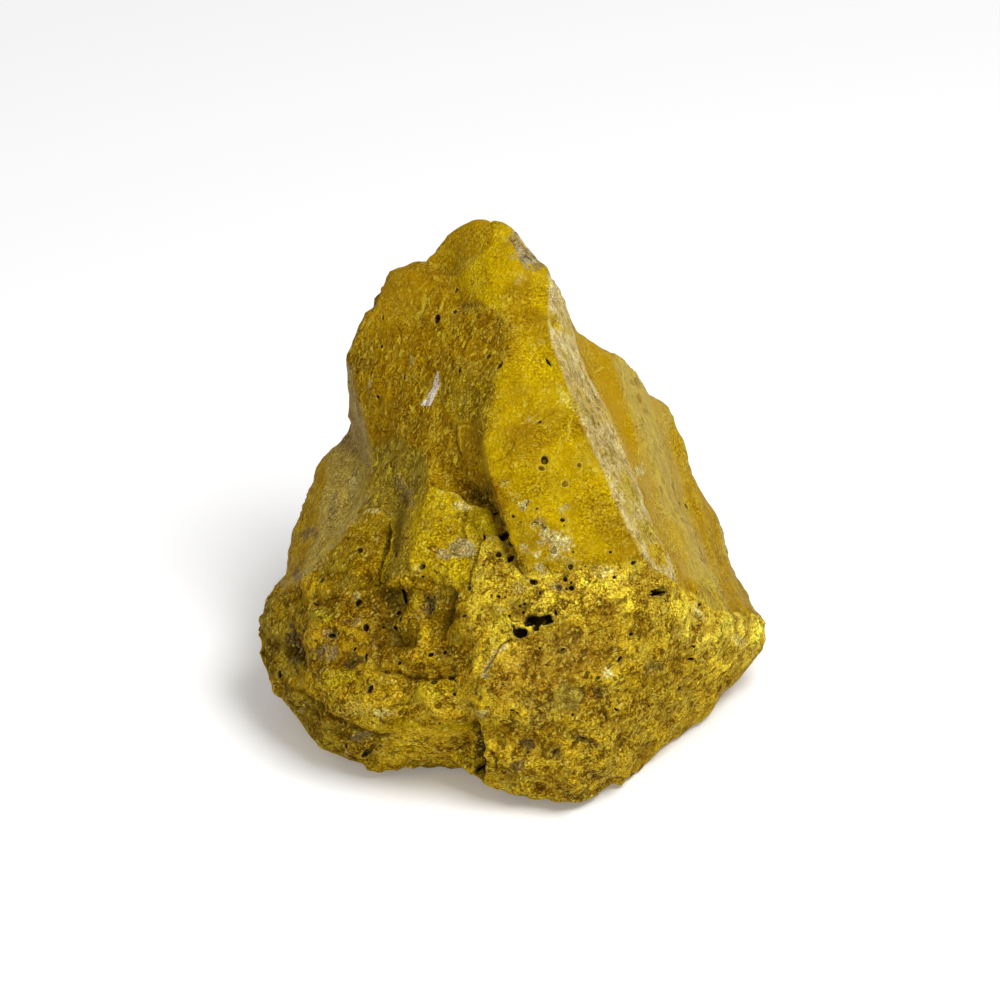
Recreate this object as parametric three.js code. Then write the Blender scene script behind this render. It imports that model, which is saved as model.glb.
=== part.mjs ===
// A palm-sized lump of rough opaque topaz, broken from a layered vein and worn a little smooth.
// Its beds lie parallel to the big front face, so their cut edges show as bands down both flanks.
// The surface is star-shaped about the heart of the stone: named corners are joined by the hull of their
// directions, and the flat facets that this gives are split finely, rounded and roughened.
//
// Corners of the front are listed in the frame of its face: across to the right, up the face, out of it.
// Leaning that frame back by LEAN_DEG sets the stone down on its base. Lengths are millimetres.

import * as THREE from "three";
import { ConvexHull } from "three/addons/math/ConvexHull.js";
import { SimplexNoise } from "three/addons/math/SimplexNoise.js";

const LEAN_DEG = 30; // how far the front face's own frame leans back from upright
const FACE_HEIGHT = 26.4; // height of that frame's origin above the base
const HEART = [0, -2, 24]; // every corner is seen from here, in the resting frame

const FACET_EDGE = 3.5; // longest triangle edge after splitting
const RIDGE_ANGLE_DEG = 26; // sharper bends than this stay crisp
const ROUNDING_PASSES = 2;
const ROUNDING = 0.4; // share of the way to its neighbours' mean that a point moves in each pass
const CORNER_ROUNDING = 0.12; // the same for the named corners
const RELIEF = [
  { wavelength: 17, height: 0.55 },
  { wavelength: 6.5, height: 0.4 },
];

// The beds run parallel to the big front face. Across their cut edges each one stands a little proud of the
// flank or sinks below it: `below` is how deep the bed starts, measured from the heart towards the front.
const BED_NORMAL = [0.08, 0.37, 0.925]; // across, up, out
const BEDS = [
  { below: 15.7, stand: -0.6 },
  { below: 12.2, stand: 0.2 },
  { below: 4.2, stand: -0.5 },
  { below: 0.5, stand: 0.3 },
  { below: -10, stand: -0.7 },
  { below: -13, stand: 0.4 },
  { below: -22, stand: -0.4 },
];
const BED_STEP = 1.2; // width over which one bed gives way to the next

// ---- Corners in the frame of the front face: [across, up, out] ----

const FACE_CORNERS = {
  crest: [
    [-18.7, 35.5, 1], [-15.2, 37, 1], [-12.5, 37.2, 2], [-11.4, 38.4, 2], [-9, 40.4, 4],
    [-6.6, 41.5, 6], [-4.6, 41.9, 7], [-3, 41.2, 8], [-1.5, 41.3, 9], [0.3, 40.4, 10], [1.9, 38.5, 9.5],
    [3.2, 37, 9],
  ],
  capHollow: [[-14, 34.2, 4.5], [-9.8, 33.8, 7], [-6.4, 35.4, 9], [-4.2, 38.6, 9.4], [-8.2, 37, 4.6]],
  leftSkyline: [
    [-19, 33, 1], [-19.1, 30.6, 1], [-20.4, 28, 0.5], [-21.6, 26.6, 0.5], [-23, 24, 0], [-23.7, 21, 0],
    [-24, 17, -2], [-23.9, 14, -4], [-23.2, 12, -5],
  ],
  leftSlabEdge: [
    [-22.3, 17, 3], [-21.3, 14, 4], [-20.9, 11, 4.5], [-20.6, 8, 5], [-21, 5, 5.5], [-22.2, 2.2, 6],
  ],
  shoulder: [
    [-23, 11.5, -6], [-25, 10.8, -7], [-25.8, 9.1, -7], [-27.4, 8.6, -7], [-28.7, 6, -7.5],
    [-29.7, 3.1, -7.5], [-30.6, 0.4, -7], [-31.4, -3.2, -6], [-31.7, -7, -4], [-32.5, -9.8, -1],
  ],
  shoulderBend: [[-25, 7.5, -3], [-26.3, 4, -2], [-27.6, 0, -1], [-28.4, -4, 1.5], [-29.6, -7.6, 3.5]],
  shoulderFoot: [
    [-22.2, 7.5, 0.5], [-23.4, 3, 1.5], [-25.4, -1.6, 4.5], [-27.8, -5.2, 6.8], [-30.2, -8.6, 7.5],
  ],
  leftFace: [
    [-17, 30, 4.5], [-19, 23, 4.5], [-18, 16, 7], [-17.5, 9, 9], [-12, 30, 8], [-12, 22, 10.5],
    [-12, 14, 12.5], [-12, 8.5, 14], [-7, 29.5, 11.5], [-6.5, 24, 13.2], [-6.5, 18, 15.5],
    [-7.5, 12.5, 17], [-16.5, 4.5, 11.5], [-20, 3, 8],
  ],
  mainRidge: [
    [4.9, 34.6, 10.5], [5.3, 30, 13], [5.8, 25.5, 15.3], [7.6, 20, 18], [9.2, 15, 20.2], [11.1, 10, 22],
    [13.3, 5, 23.6], [15.7, 0, 24.6], [18.4, -5, 25], [21, -8.4, 24], [24.6, -10.8, 19.6],
  ],
  brightFaceEdge: [
    [-3.6, 38, 10.4], [-3.4, 33, 13], [-1.5, 29.3, 14.6], [0.2, 25, 17], [-1.8, 20, 18.8],
    [-3.6, 15, 20.8], [-4.2, 10.5, 22.6], [-3.4, 6.5, 24.2], [-2.2, 3.3, 25.6], [-1.3, 0, 26.8],
    [-0.1, -4, 28.4], [1.4, -7.5, 29.6],
  ],
  brightFace: [
    [1.2, 35.5, 12], [2.4, 29, 15.2], [3, 20, 19.4], [3.4, 11, 23.4], [4, 3, 26.8], [10, 2, 26.4],
    [6, -5, 29.6], [12, -6, 28.6], [3.4, -10, 30.8],
  ],
  leftPlateRim: [
    [-22.2, 0.2, 10.6], [-20, 0.6, 12.4], [-18.3, 0.1, 13.8], [-17.9, -3, 16.8], [-18.2, -7, 19.4],
    [-19.4, -10.2, 20.6], [-24.2, -2.4, 10.4], [-27, -5.8, 11], [-29.8, -8.8, 10.6],
  ],
  leftPlate: [[-22, -5, 16]],
  channel: [[-17, 0.6, 12], [-16.9, -3.6, 14.6], [-17, -7.6, 17.2], [-15, 2, 14]],
  middlePlateRim: [
    [-12.2, 4.1, 17.6], [-9, 3.3, 19.6], [-6.8, 1.6, 21], [-6.1, -1.5, 22.6], [-5.6, -5, 24.2],
    [-6, -9, 26], [-14.3, -2, 19], [-15.6, -8, 21.4],
  ],
  middlePlate: [[-10.5, -1, 21.6], [-10.5, -7, 23.8]],
  recess: [
    [-9.3, 5, 16.2], [-6.4, 4.2, 18], [-4, 4, 20], [-5, 1.8, 19.6], [-3.2, 1.6, 21], [-2.3, -0.6, 22.6],
    [-1.2, -4.4, 25], [0.2, -7.6, 27.4],
  ],
  littlePlate: [[-4.2, -1, 23.4], [-3.4, -4.4, 25.4], [-3.4, -9, 28]],
  lobeSkyline: [
    [-33.9, -11.2, 1.5], [-35.3, -14, 2], [-35.8, -17, 3], [-35.9, -19.8, 4], [-34.8, -21.6, 5],
    [-34.1, -24.2, 5.5], [-32.9, -26.6, 6.5], [-31, -28.9, 7], [-29.4, -31.2, 8],
  ],
  lobe: [
    [-31.6, -11.6, 9], [-27, -10.4, 14.6], [-33.4, -15, 9], [-33, -19.6, 11], [-31, -17.4, 12.4],
    [-28, -14.4, 17], [-28.4, -21, 17.6], [-23.6, -11.4, 19.6], [-23.4, -17.6, 21], [-25, -23.6, 21.4],
    [-19.4, -13.6, 20.4], [-19.6, -19.6, 22.4], [-30.6, -25.2, 14.6], [-25.6, -28.4, 19],
  ],
  hollows: [
    [-16, -11.6, 20.2], [-12.4, -11, 21.6], [-12, -14.2, 22.4], [-15.4, -15, 21.6], [-9.2, -11.4, 24.4],
    [-9.4, -16.4, 25.4],
  ],
  middle: [
    [-8, -10.4, 26.8], [-7.8, -16, 28], [-4.4, -13.4, 29.4], [-13.2, -16.6, 25.2], [-11.4, -20.6, 26.2],
    [-16.6, -20, 24.4], [-4.6, -19.4, 30.2],
  ],
  ledge: [
    [-19.4, -23, 23.6], [-15.4, -23.6, 24.8], [-12.6, -24.4, 25.4], [-8, -23.8, 27.2],
    [-18.6, -25.4, 25.6], [-12.6, -26, 26.9], [-7.4, -25.8, 28.6], [-5, -24.2, 29.6],
  ],
  lobeFoot: [
    [-21, -29.6, 22], [-15.6, -30.4, 23.2], [-10, -30.4, 24.2], [-6.2, -30.2, 25.4],
    [-26.8, -31.4, 14.4], [-21.6, -32.6, 17.2], [-16, -33, 18.6], [-9.6, -33, 19.4],
  ],
  lobeSole: [
    [-27.8, -32.7, 9], [-24.8, -34.2, 10.6], [-21.7, -35.2, 12], [-18.8, -36.3, 13.4],
    [-15.8, -36.5, 13.6], [-13, -36.1, 12.6], [-10.8, -35.3, 11], [-7.4, -35.3, 10],
  ],
  notch: [[-5.5, -31, 22.6], [-5.2, -33.2, 19], [-5.2, -36.2, 13]],
  prowEdge: [[-4.4, -30.6, 26.4], [-3.7, -33.2, 25.2], [-3.6, -36, 21.8], [-4, -38, 17.8]],
  prowSole: [
    [-1, -39, 18.2], [2, -40.2, 19.8], [5, -41, 21], [8, -41.2, 21.4], [10.2, -40.4, 19.6],
    [13, -39.4, 17.6], [15.6, -37.9, 14.6], [18.2, -35.6, 10.4], [20.5, -33.8, 7.6], [23.6, -31.8, 4],
    [26.5, -29.6, 1], [28.7, -27.8, -2], [30.9, -26.2, -4], [33.7, -24.2, -7], [35.6, -22, -8.6],
  ],
  prow: [
    [-1.6, -23, 30.6], [-1, -30, 28.8], [1, -36, 25.2], [5, -19.6, 31.8], [5, -28, 30.2],
    [8.4, -36.6, 26.4], [12.4, -20.6, 29.4], [12.6, -28.4, 27.8], [14.6, -35, 21.6],
    [19.6, -20.4, 24.4], [18.6, -29, 19.6], [26.4, -21, 14.6], [25, -26.4, 9.6], [31.4, -20.6, 4.6],
  ],
  brow: [
    [0.4, -15.6, 31.2], [4.6, -13.4, 31.8], [9.4, -13, 31.2], [14.6, -12.6, 28.8], [20, -13, 24.8],
    [27, -13.2, 16.4], [32, -15.2, 8],
  ],
  rightCorner: [[35.1, -15, -3], [36.3, -17.2, -4], [36.4, -19.8, -6]],
  slabWallFoot: [
    [5.3, 34.4, 7], [6.4, 32, 7], [7.3, 29.6, 7], [8.2, 27.4, 7], [9.4, 25.4, 6.2], [11, 21.4, 7.2],
    [13, 17, 9], [15, 12, 11], [17, 8, 12.6], [19.2, 3, 14.2], [21.8, -2, 15], [25, -7, 14.6],
    [29, -10.4, 8.6],
  ],
  slabBack: [[4.6, 35, 4], [6.6, 31.6, 3], [7.9, 28.6, 2.4], [9.2, 25.9, 2]],
  secondSlab: [
    [10.8, 24.9, 3.2], [12.6, 24.4, 1.6], [14.4, 22.7, -0.6], [16, 18, 2.4], [17.8, 13, 4.6],
    [19.6, 8, 6.2], [21.8, 3, 6.8], [24.6, -2, 6.4],
  ],
  rightSkyline: [
    [16.3, 21.3, -3], [18.4, 19.7, -5], [20.4, 17.7, -7], [22, 16.2, -8], [23.2, 13.9, -8.8],
    [24.2, 11, -9.5], [25.4, 8, -10], [25.9, 5.2, -10.2], [27, 2.5, -10.4], [28.8, -0.5, -11],
    [30.6, -3.6, -11.4], [32.2, -7, -11.8], [33.4, -10, -12], [34.4, -13, -11],
  ],
  rightBand: [
    [20.6, 13.8, -2], [22.4, 8, -1.6], [24.2, 3, -1.8], [27, -2.6, -2.2], [29.6, -8, -2.6],
    [32, -12.2, -3],
  ],
};

// ---- Corners of the hidden sides, in the resting frame: [right, back, height] ----

const BACK_CORNERS = {
  backCrest: [[-14, 20, 52], [-7, 20, 58], [1, 18, 58], [6, 17, 48]],
  backRight: [
    [10, 20, 41], [15, 22, 34], [22, 22, 26], [26, 20, 16], [30, 19, 8], [34, 9, 5], [24, 28, 7],
    [17, 28, 20], [34.5, 2, 4],
  ],
  back: [
    [-17, 23, 40], [-11, 25, 44], [-2, 25, 46], [4, 28, 32], [-9, 30, 28], [12, 30, 13], [0, 33, 12],
    [-14, 31, 11],
  ],
  backLeft: [
    [-20.6, 18, 36], [-22, 22, 26], [-27, 17, 21], [-29.6, 10, 15], [-25, 23, 9], [-32, 0, 9],
    [-34.4, -9, 7], [-31.6, 8, 6],
  ],
};

// The broken face that the stone rests on.
const BASE_CORNERS = [
  [5, -34], [13, -30], [21, -17], [28, -7], [30, 5], [24, 19], [8, 27], [-10, 26], [-23, 15], [-28, 0],
  [-28, -15], [-20, -26], [-8, -25],
];

// ---- From corners to a closed surface ----

const lean = new THREE.Matrix4()
  .makeRotationX(-THREE.MathUtils.degToRad(LEAN_DEG))
  .setPosition(0, 0, FACE_HEIGHT);

const toFace = lean.clone().invert();
const bedNormal = new THREE.Vector3(BED_NORMAL[0], -BED_NORMAL[2], BED_NORMAL[1]);
const bedNormalAtRest = bedNormal.clone().transformDirection(lean);

// [across, up, out] of the leaning face as a point of the resting frame, whose Y runs into the stone.
function fromFace([across, up, out]) {
  return new THREE.Vector3(across, -out, up).applyMatrix4(lean);
}

function allCorners() {
  return [
    ...Object.values(FACE_CORNERS).flat().map(fromFace),
    ...Object.values(BACK_CORNERS).flat().map((corner) => new THREE.Vector3(...corner)),
    ...BASE_CORNERS.map(([x, y]) => new THREE.Vector3(x, y, 0)),
  ];
}

// The hull of the corners' directions from the heart says which three corners make each facet.
function joinCorners(corners) {
  const heart = new THREE.Vector3(...HEART);
  const directions = corners.map((corner) => corner.clone().sub(heart).normalize());
  const indexOf = new Map(directions.map((direction, i) => [direction, i]));
  return new ConvexHull().setFromPoints(directions).faces.map((face) =>
    [0, 1, 2].map((i) => indexOf.get(face.getEdge(i).head().point)),
  );
}

// Halves every triangle across its longest edge until no edge is longer than the limit.
function split(points, triangles, limit) {
  const middles = new Map();
  const middle = (a, b) => {
    const key = a < b ? `${a},${b}` : `${b},${a}`;
    if (!middles.has(key)) middles.set(key, points.push(points[a].clone().lerp(points[b], 0.5)) - 1);
    return middles.get(key);
  };
  const done = [];
  const waiting = triangles.slice();
  while (waiting.length) {
    const triangle = waiting.pop();
    const edges = triangle.map((a, i) => points[a].distanceTo(points[triangle[(i + 1) % 3]]));
    const longest = edges.indexOf(Math.max(...edges));
    if (edges[longest] <= limit) {
      done.push(triangle);
      continue;
    }
    const [a, b, c] = [0, 1, 2].map((i) => triangle[(longest + i) % 3]);
    const m = middle(a, b);
    waiting.push([a, m, c], [m, b, c]);
  }
  return done;
}

function faceNormal(points, [a, b, c]) {
  const ab = points[b].clone().sub(points[a]);
  return ab.cross(points[c].clone().sub(points[a])).normalize();
}

// For each point, the set of its neighbours, and the set of those joined to it by a crisp ridge.
function neighbours(points, triangles) {
  const all = points.map(() => new Set());
  const crisp = points.map(() => new Set());
  const firstNormal = new Map();
  const crispCosine = Math.cos(THREE.MathUtils.degToRad(RIDGE_ANGLE_DEG));
  for (const triangle of triangles) {
    const normal = faceNormal(points, triangle);
    triangle.forEach((a, i) => {
      const b = triangle[(i + 1) % 3];
      all[a].add(b);
      all[b].add(a);
      const other = firstNormal.get(`${b},${a}`);
      if (!other) firstNormal.set(`${a},${b}`, normal);
      else if (normal.dot(other) < crispCosine) {
        crisp[a].add(b);
        crisp[b].add(a);
      }
    });
  }
  return { all, crisp };
}

// Draws each point towards its neighbours; a point on a ridge moves only along the ridge.
function round(points, triangles, cornerCount) {
  const { all, crisp } = neighbours(points, triangles);
  for (let pass = 0; pass < ROUNDING_PASSES; pass++) {
    const before = points.map((point) => point.clone());
    points.forEach((point, i) => {
      if (onBase(before[i])) return;
      const around = [...(crisp[i].size ? crisp[i] : all[i])];
      if (around.length === 1) return;
      const mean = new THREE.Vector3();
      around.forEach((j) => mean.add(before[j]));
      point.lerp(mean.divideScalar(around.length), i < cornerCount ? CORNER_ROUNDING : ROUNDING);
    });
  }
}

function onBase(point) {
  return point.z < 1e-6;
}

// How far a bed's cut edge stands out at this point. Nothing shows where the surface runs along the bed,
// nor on the crumbly underside of the front.
function bedStand(point, normal) {
  const depth = point.clone().applyMatrix4(toFace).dot(bedNormal);
  const bed = BEDS.findLastIndex(({ below }) => depth < below);
  if (bed < 0) return 0;
  const before = bed > 0 ? BEDS[bed - 1].stand : 0;
  const blend = THREE.MathUtils.smoothstep(BEDS[bed].below - depth, 0, BED_STEP);
  const cutAcross = 1 - THREE.MathUtils.smoothstep(Math.abs(normal.dot(bedNormalAtRest)), 0.45, 0.8);
  const flank = THREE.MathUtils.smoothstep(normal.y, -0.7, -0.45);
  return cutAcross * flank * THREE.MathUtils.lerp(before, BEDS[bed].stand, blend);
}

// Moves each point along its normal by a few octaves of noise, and keeps it above the base.
function roughen(points, triangles) {
  let seed = 7;
  const noise = new SimplexNoise({ random: () => (seed = (seed * 16807) % 2147483647) / 2147483647 });
  const normals = points.map(() => new THREE.Vector3());
  for (const triangle of triangles) {
    const normal = faceNormal(points, triangle);
    triangle.forEach((i) => normals[i].add(normal));
  }
  points.forEach((point, i) => {
    if (onBase(point)) return;
    const normal = normals[i].normalize();
    let height = bedStand(point, normal);
    for (const octave of RELIEF) {
      const at = point.clone().divideScalar(octave.wavelength);
      height += octave.height * noise.noise3d(at.x, at.y, at.z);
    }
    point.addScaledVector(normal, height);
    point.z = Math.max(point.z, 0.2);
  });
}

function stoneGeometry() {
  const points = allCorners();
  const cornerCount = points.length;
  const triangles = split(points, joinCorners(points), FACET_EDGE);
  round(points, triangles, cornerCount);
  roughen(points, triangles);
  const geometry = new THREE.BufferGeometry().setFromPoints(points);
  geometry.setIndex(triangles.flat());
  geometry.computeBoundingBox();
  const { min, max } = geometry.boundingBox;
  geometry.translate(-(min.x + max.x) / 2, -(min.y + max.y) / 2, -min.z);
  geometry.computeVertexNormals();
  return geometry;
}

const stone = new THREE.Mesh(
  stoneGeometry(),
  new THREE.MeshStandardMaterial({ color: 0xb08a10, roughness: 0.55, metalness: 0 }),
);
stone.name = "stone";

const part = new THREE.Group();
part.add(stone);
export default part;
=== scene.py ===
"""Looks of a palm-sized lump of rough opaque topaz: a waxy mustard-yellow stone with a tall leaning front
face, cut bed edges down both flanks, a pitted brow and a crumbly brown foot.

The CAD solid gives the form. A copy of it is split finely, smoothed and carved in mesh code, and painted by
zone; shader nodes add the bedding, the grain and the fine streaks. The solid itself stays hidden, for its
mass and its contacts.

Lengths are millimetres until the mesh is made. Most places are given in the frame of the leaning front face:
[across to the right, up the face, out of it]. Marks on the front are placed as seen square on to that face
from FRONT_DISTANCE away, by across and up alone.
"""

import math

import bpy
import numpy as np
from mathutils import Matrix, Vector


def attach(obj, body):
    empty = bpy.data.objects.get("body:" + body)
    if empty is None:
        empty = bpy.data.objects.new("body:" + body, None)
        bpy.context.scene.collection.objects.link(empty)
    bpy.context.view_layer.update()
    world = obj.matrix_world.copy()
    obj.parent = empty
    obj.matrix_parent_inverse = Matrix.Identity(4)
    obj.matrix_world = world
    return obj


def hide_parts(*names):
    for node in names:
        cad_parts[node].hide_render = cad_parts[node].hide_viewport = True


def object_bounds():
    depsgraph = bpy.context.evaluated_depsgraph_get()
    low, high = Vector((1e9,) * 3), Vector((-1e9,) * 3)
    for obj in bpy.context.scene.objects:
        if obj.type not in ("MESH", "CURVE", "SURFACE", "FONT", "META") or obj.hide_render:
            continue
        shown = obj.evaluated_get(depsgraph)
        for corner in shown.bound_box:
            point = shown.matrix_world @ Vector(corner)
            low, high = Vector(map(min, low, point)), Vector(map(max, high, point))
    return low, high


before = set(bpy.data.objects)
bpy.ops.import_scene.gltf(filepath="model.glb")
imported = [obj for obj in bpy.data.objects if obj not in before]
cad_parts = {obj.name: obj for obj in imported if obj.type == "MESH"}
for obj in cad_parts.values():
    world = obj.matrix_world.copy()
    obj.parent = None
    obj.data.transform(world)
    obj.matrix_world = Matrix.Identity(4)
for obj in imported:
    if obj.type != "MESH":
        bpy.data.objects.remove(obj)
frame_low, frame_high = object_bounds()

MM = 0.001

# ---- The front face's frame and the place it is seen from ----

LEAN = math.radians(30)  # how far the front face leans back
FACE_ORIGIN = np.array([-0.3, 4.2, 26.4])  # where the face's frame sits in the resting frame
ACROSS = np.array([1.0, 0.0, 0.0])
UP = np.array([0.0, math.sin(LEAN), math.cos(LEAN)])
OUT = np.array([0.0, -math.cos(LEAN), math.sin(LEAN)])

FRONT_AIM = np.array([-1.7, 1.9, 2.0])  # what the camera looks at, in the face's frame
FRONT_DISTANCE = 992.0
LENS = 250.0

# Beds run parallel to the big bright facet. A point's depth in the bedding is its place along this direction.
BED_NORMAL = 0.08 * ACROSS + 0.37 * UP + 0.925 * OUT

# Fine streaks climb the left face along this direction.
STREAK = 0.3 * ACROSS + 0.954 * UP

# ---- Mesh ----

FIRST_EDGE = 1.9  # triangle edges while the broad form is smoothed
SECOND_EDGE = 1.3
SMOOTH_EDGE = 0.8  # final edges where the front is smooth
FLANK_EDGE = 0.6  # on the right flank
ROUGH_EDGE = 0.56  # where it is crumbly
HIDDEN_EDGE = 1.45  # and out of sight of the front
FINE_EDGE = 0.42  # and where the edges of the plates stay crisp
CRUMBLY = 0.6  # zones that are chunkier and grainier than this together are crumbly
CRISP_ANGLE = math.radians(38)  # sharper bends than this are smoothed along the ridge only
SMOOTH_PASSES = 3
ON_GROUND = 0.01  # points lower than this rest on the ground and stay there
OFF_GROUND = 0.15  # and the others stay at least this high

# ---- Colours ----

MUSTARD = (0.47, 0.3, 0.002)
OCHRE = (0.35, 0.202, 0.003)
BROWN = (0.215, 0.112, 0.003)
UMBER = (0.09, 0.045, 0.004)
LEMON = (0.56, 0.375, 0.01)
GOLD = (0.5, 0.305, 0.006)
OLIVE = (0.27, 0.175, 0.012)
BEIGE = (0.46, 0.335, 0.1)
STRAW = (0.49, 0.35, 0.04)
MAUVE = (0.27, 0.19, 0.085)
CHALK = (0.95, 0.805, 0.31)
CREAM = (0.76, 0.6, 0.1)
DASH = (0.64, 0.47, 0.03)
PINK = (0.78, 0.65, 0.56)
# painted shade, for dents, creases and undersides
DEEP_SHADE = (0.08, 0.052, 0.02)
RUST = (0.43, 0.222, 0.007)
MOSS = (0.31, 0.22, 0.03)
STAIN = (0.5, 0.32, 0.01)
SPECK = (0.2, 0.13, 0.03)
# painted shade in the grooves
GROOVE_SHADE = (0.055, 0.028, 0.004)
# painted shade inside the pits
PIT_SHADE = (0.024, 0.012, 0.004)
# a painted highlight, for glints along edges
EDGE_GLINT = (0.62, 0.45, 0.03)
BED_YELLOW = (0.42, 0.25, 0.004)
INFILL = (0.95, 0.8, 0.45)

# ---- Marks on the front, [across, up] as seen ----

# Deep pits with painted shade: across, up, width, height, slant in degrees from upright (clockwise).
PITS = [
    # the left face and the cap
    (-10.8, 27.9, 0.8, 1.4, 10), (-18.4, 28, 0.35, 0.8, 5), (-18.6, 23.8, 0.5, 0.6, 10),
    (-15.4, 19.4, 0.4, 1, 5), (-8.1, 32, 0.35, 0.35, 0), (-8.1, 28.8, 0.35, 0.35, 0),
    (-1.8, 21.1, 0.6, 1.5, 35), (-3.4, 22.4, 0.5, 0.9, 25), (-1.8, 22.9, 0.3, 0.4, 0),
    (-7.3, 20.3, 0.35, 0.8, 10), (-19.2, 16.6, 0.35, 0.6, 0), (-4.7, 17.2, 0.35, 0.35, 0),
    # the bright facet
    (5.2, 21.6, 0.4, 1.5, -35), (4, 13.1, 0.7, 0.35, -35), (4.7, 7.7, 1.15, 1.3, 25), (3.7, 0.6, 0.4, 0.4, 0),
    (0.2, -0.5, 0.5, 0.5, 0), (7.2, -1, 0.8, 0.65, 0), (7.4, -1.9, 0.3, 0.3, 0), (14.2, -5.5, 0.6, 0.5, 0),
    # around the gash, the middle plate's foot and the cavity
    (-1.8, -5.6, 0.9, 0.95, 30), (-0.2, -6.4, 0.9, 1.1, 0), (-1.4, -3.2, 0.8, 1.4, -28),
    (-0.7, -4.4, 0.5, 1.2, -25), (8.4, -7.6, 0.9, 0.9, 0), (7.6, -9.2, 0.75, 0.8, 0),
    (8.6, -10.5, 0.9, 0.9, 0), (7.8, -10.6, 0.4, 0.5, 0), (3.1, -9.8, 1.2, 0.85, 0), (8.5, -9.7, 0.4, 0.4, 0),
    (8.8, -5.5, 0.4, 0.35, 40), (10.5, -7.6, 0.35, 0.35, 0), (-4.1, -3.4, 0.45, 0.9, 0),
    (-1, -11.8, 0.35, 0.35, 0), (-2, -11.7, 0.6, 0.5, 0), (1.1, -13.2, 0.4, 0.4, 0),
    (1.8, -12.9, 0.6, 0.35, 0), (1.6, -14.1, 0.5, 0.4, 0), (-0.4, -14.6, 0.5, 0.35, 30),
    (3.9, -11.2, 0.4, 0.6, 20), (-5.1, -9.1, 0.3, 0.3, 0), (-12.9, -7.6, 1, 1.15, 20),
    (-12.6, -9, 0.4, 0.35, 0), (6.3, -14.2, 0.45, 0.9, -20), (2.8, -12.8, 0.3, 0.3, 0),
    # the dark hollow over the middle plate
    (-4.9, 2.7, 0.3, 0.35, 0), (-4.4, 1.9, 0.35, 0.3, 0), (-5.6, 3.4, 0.3, 0.3, 0), (-3.5, 1.8, 0.3, 0.3, 0),
    (-4.7, 1, 0.4, 0.35, 0), (-3.2, 0.6, 0.3, 0.3, 0), (-2.5, -0.1, 0.3, 0.4, -20), (-5.3, 2.2, 0.3, 0.3, 0),
    (-3.9, 2.2, 0.25, 0.3, 0), (-4.1, 3.1, 0.3, 0.25, 0), (-2.8, 1.4, 0.3, 0.3, 0), (-6.2, 2.5, 0.3, 0.3, 0),
    # the brow's right end, the right flank and the foot
    (17.5, -7, 0.8, 0.6, 0), (14.7, -9.1, 0.5, 0.5, 0), (26.4, -11.3, 0.35, 0.4, 0),
    (27.3, -12.8, 0.5, 0.5, 0), (17.4, -17.3, 0.8, 0.6, 0), (15.8, -21, 0.7, 1.1, 15),
    (12.3, -23.5, 0.7, 0.6, 0), (27, -16.1, 0.3, 0.3, 0), (24.2, -25.3, 0.6, 0.6, 0),
    (23.4, -20.8, 0.4, 0.4, 0), (26, -21, 1, 0.4, 0), (7.3, -19.5, 0.8, 0.3, -35), (0, -28.2, 0.6, 0.35, 0),
    (25, 1, 0.45, 1, -20), (4, -19.3, 0.4, 0.4, 0), (26.2, -19.1, 0.4, 0.4, 0), (8.8, -29, 0.4, 0.4, 0),
    (19.8, -27.6, 0.4, 0.35, 0), (2.2, -34.4, 0.4, 0.4, 0), (14.8, -28, 1, 0.4, 20),
    # the plates and the left lobe
    (-21.7, -5.2, 1, 1, 0), (-17.1, -5.8, 0.45, 1.5, 12), (-17.6, -3.6, 0.4, 0.6, 0),
    (-27.2, -9.4, 0.5, 1.5, 38), (-11.1, -24.1, 1.2, 0.8, 0), (-8.7, -23.6, 0.9, 0.75, 0),
    (-8.3, -25.8, 0.45, 0.6, 0), (-9.9, -19.9, 0.55, 0.5, 0), (-11.6, -20.2, 1.1, 0.6, -30),
    (-16.4, -21.4, 0.6, 0.7, 0), (-20.9, -20.6, 0.5, 1.5, 0), (-22.5, -19.4, 0.5, 0.8, 20),
    (-19.9, -25.2, 0.55, 1.2, 15), (-26.2, -17.4, 1.2, 0.7, 0), (-25, -17.1, 0.4, 0.4, 0),
    (-20.9, -16.2, 0.9, 1.2, 0), (-18.6, -16, 0.6, 0.5, 0), (-16.7, -16.3, 0.7, 0.5, 0),
    (-15.9, -15.1, 0.55, 1.2, -10), (-16.6, -13.7, 0.75, 0.7, 0), (-15.7, -11.7, 0.75, 1.4, -8),
    (-22, -12.6, 1.1, 0.9, -25), (-12.3, -11.9, 0.5, 0.45, 0), (-11.1, -12, 0.4, 0.4, 0),
    (-12.2, -13.1, 0.5, 0.7, 0), (-11.7, -13.8, 0.4, 0.4, 0), (-33.2, -23, 0.45, 1.2, 0),
    (-20.7, -34.2, 1.6, 0.8, -12), (-23.6, -33.2, 0.4, 0.8, -20), (-18.8, -33.5, 0.7, 0.4, 0),
    (-10.3, -29.8, 0.4, 0.3, 0),
]
PIT_DEPTH = 0.85  # share of a pit's mean width
PIT_SPREAD = 1.15  # pits are carved this much wider, because smoothing fills their rims

# Shallow pits, with weaker painted shade browning their bottoms.
SHALLOW_DEPTH = 0.3
SHALLOW_PITS = [
    (4.2, 6.4, 1.5, 1.1, 25), (9.7, 7, 1.1, 1.1, 0), (7.6, 4.2, 1.5, 1.4, 30), (3.8, 5, 0.6, 0.25, 0),
    (-6.2, -10.5, 1, 1, 0), (-4.2, -7.2, 0.7, 1, 0), (-0.9, -11, 0.55, 0.5, 0), (-7, -14.6, 1.3, 0.7, -20),
    (1.2, -1.3, 0.5, 0.4, 0), (-28.3, -12.8, 0.8, 0.6, 0), (12, -7.7, 0.8, 0.8, 0), (-2.6, -7.6, 0.5, 0.6, 0),
    (13.2, 3.9, 0.5, 0.3, 0), (-8.1, -23.9, 0.7, 0.7, 0), (6.7, -10.5, 1.8, 1.4, 0),
]
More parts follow.
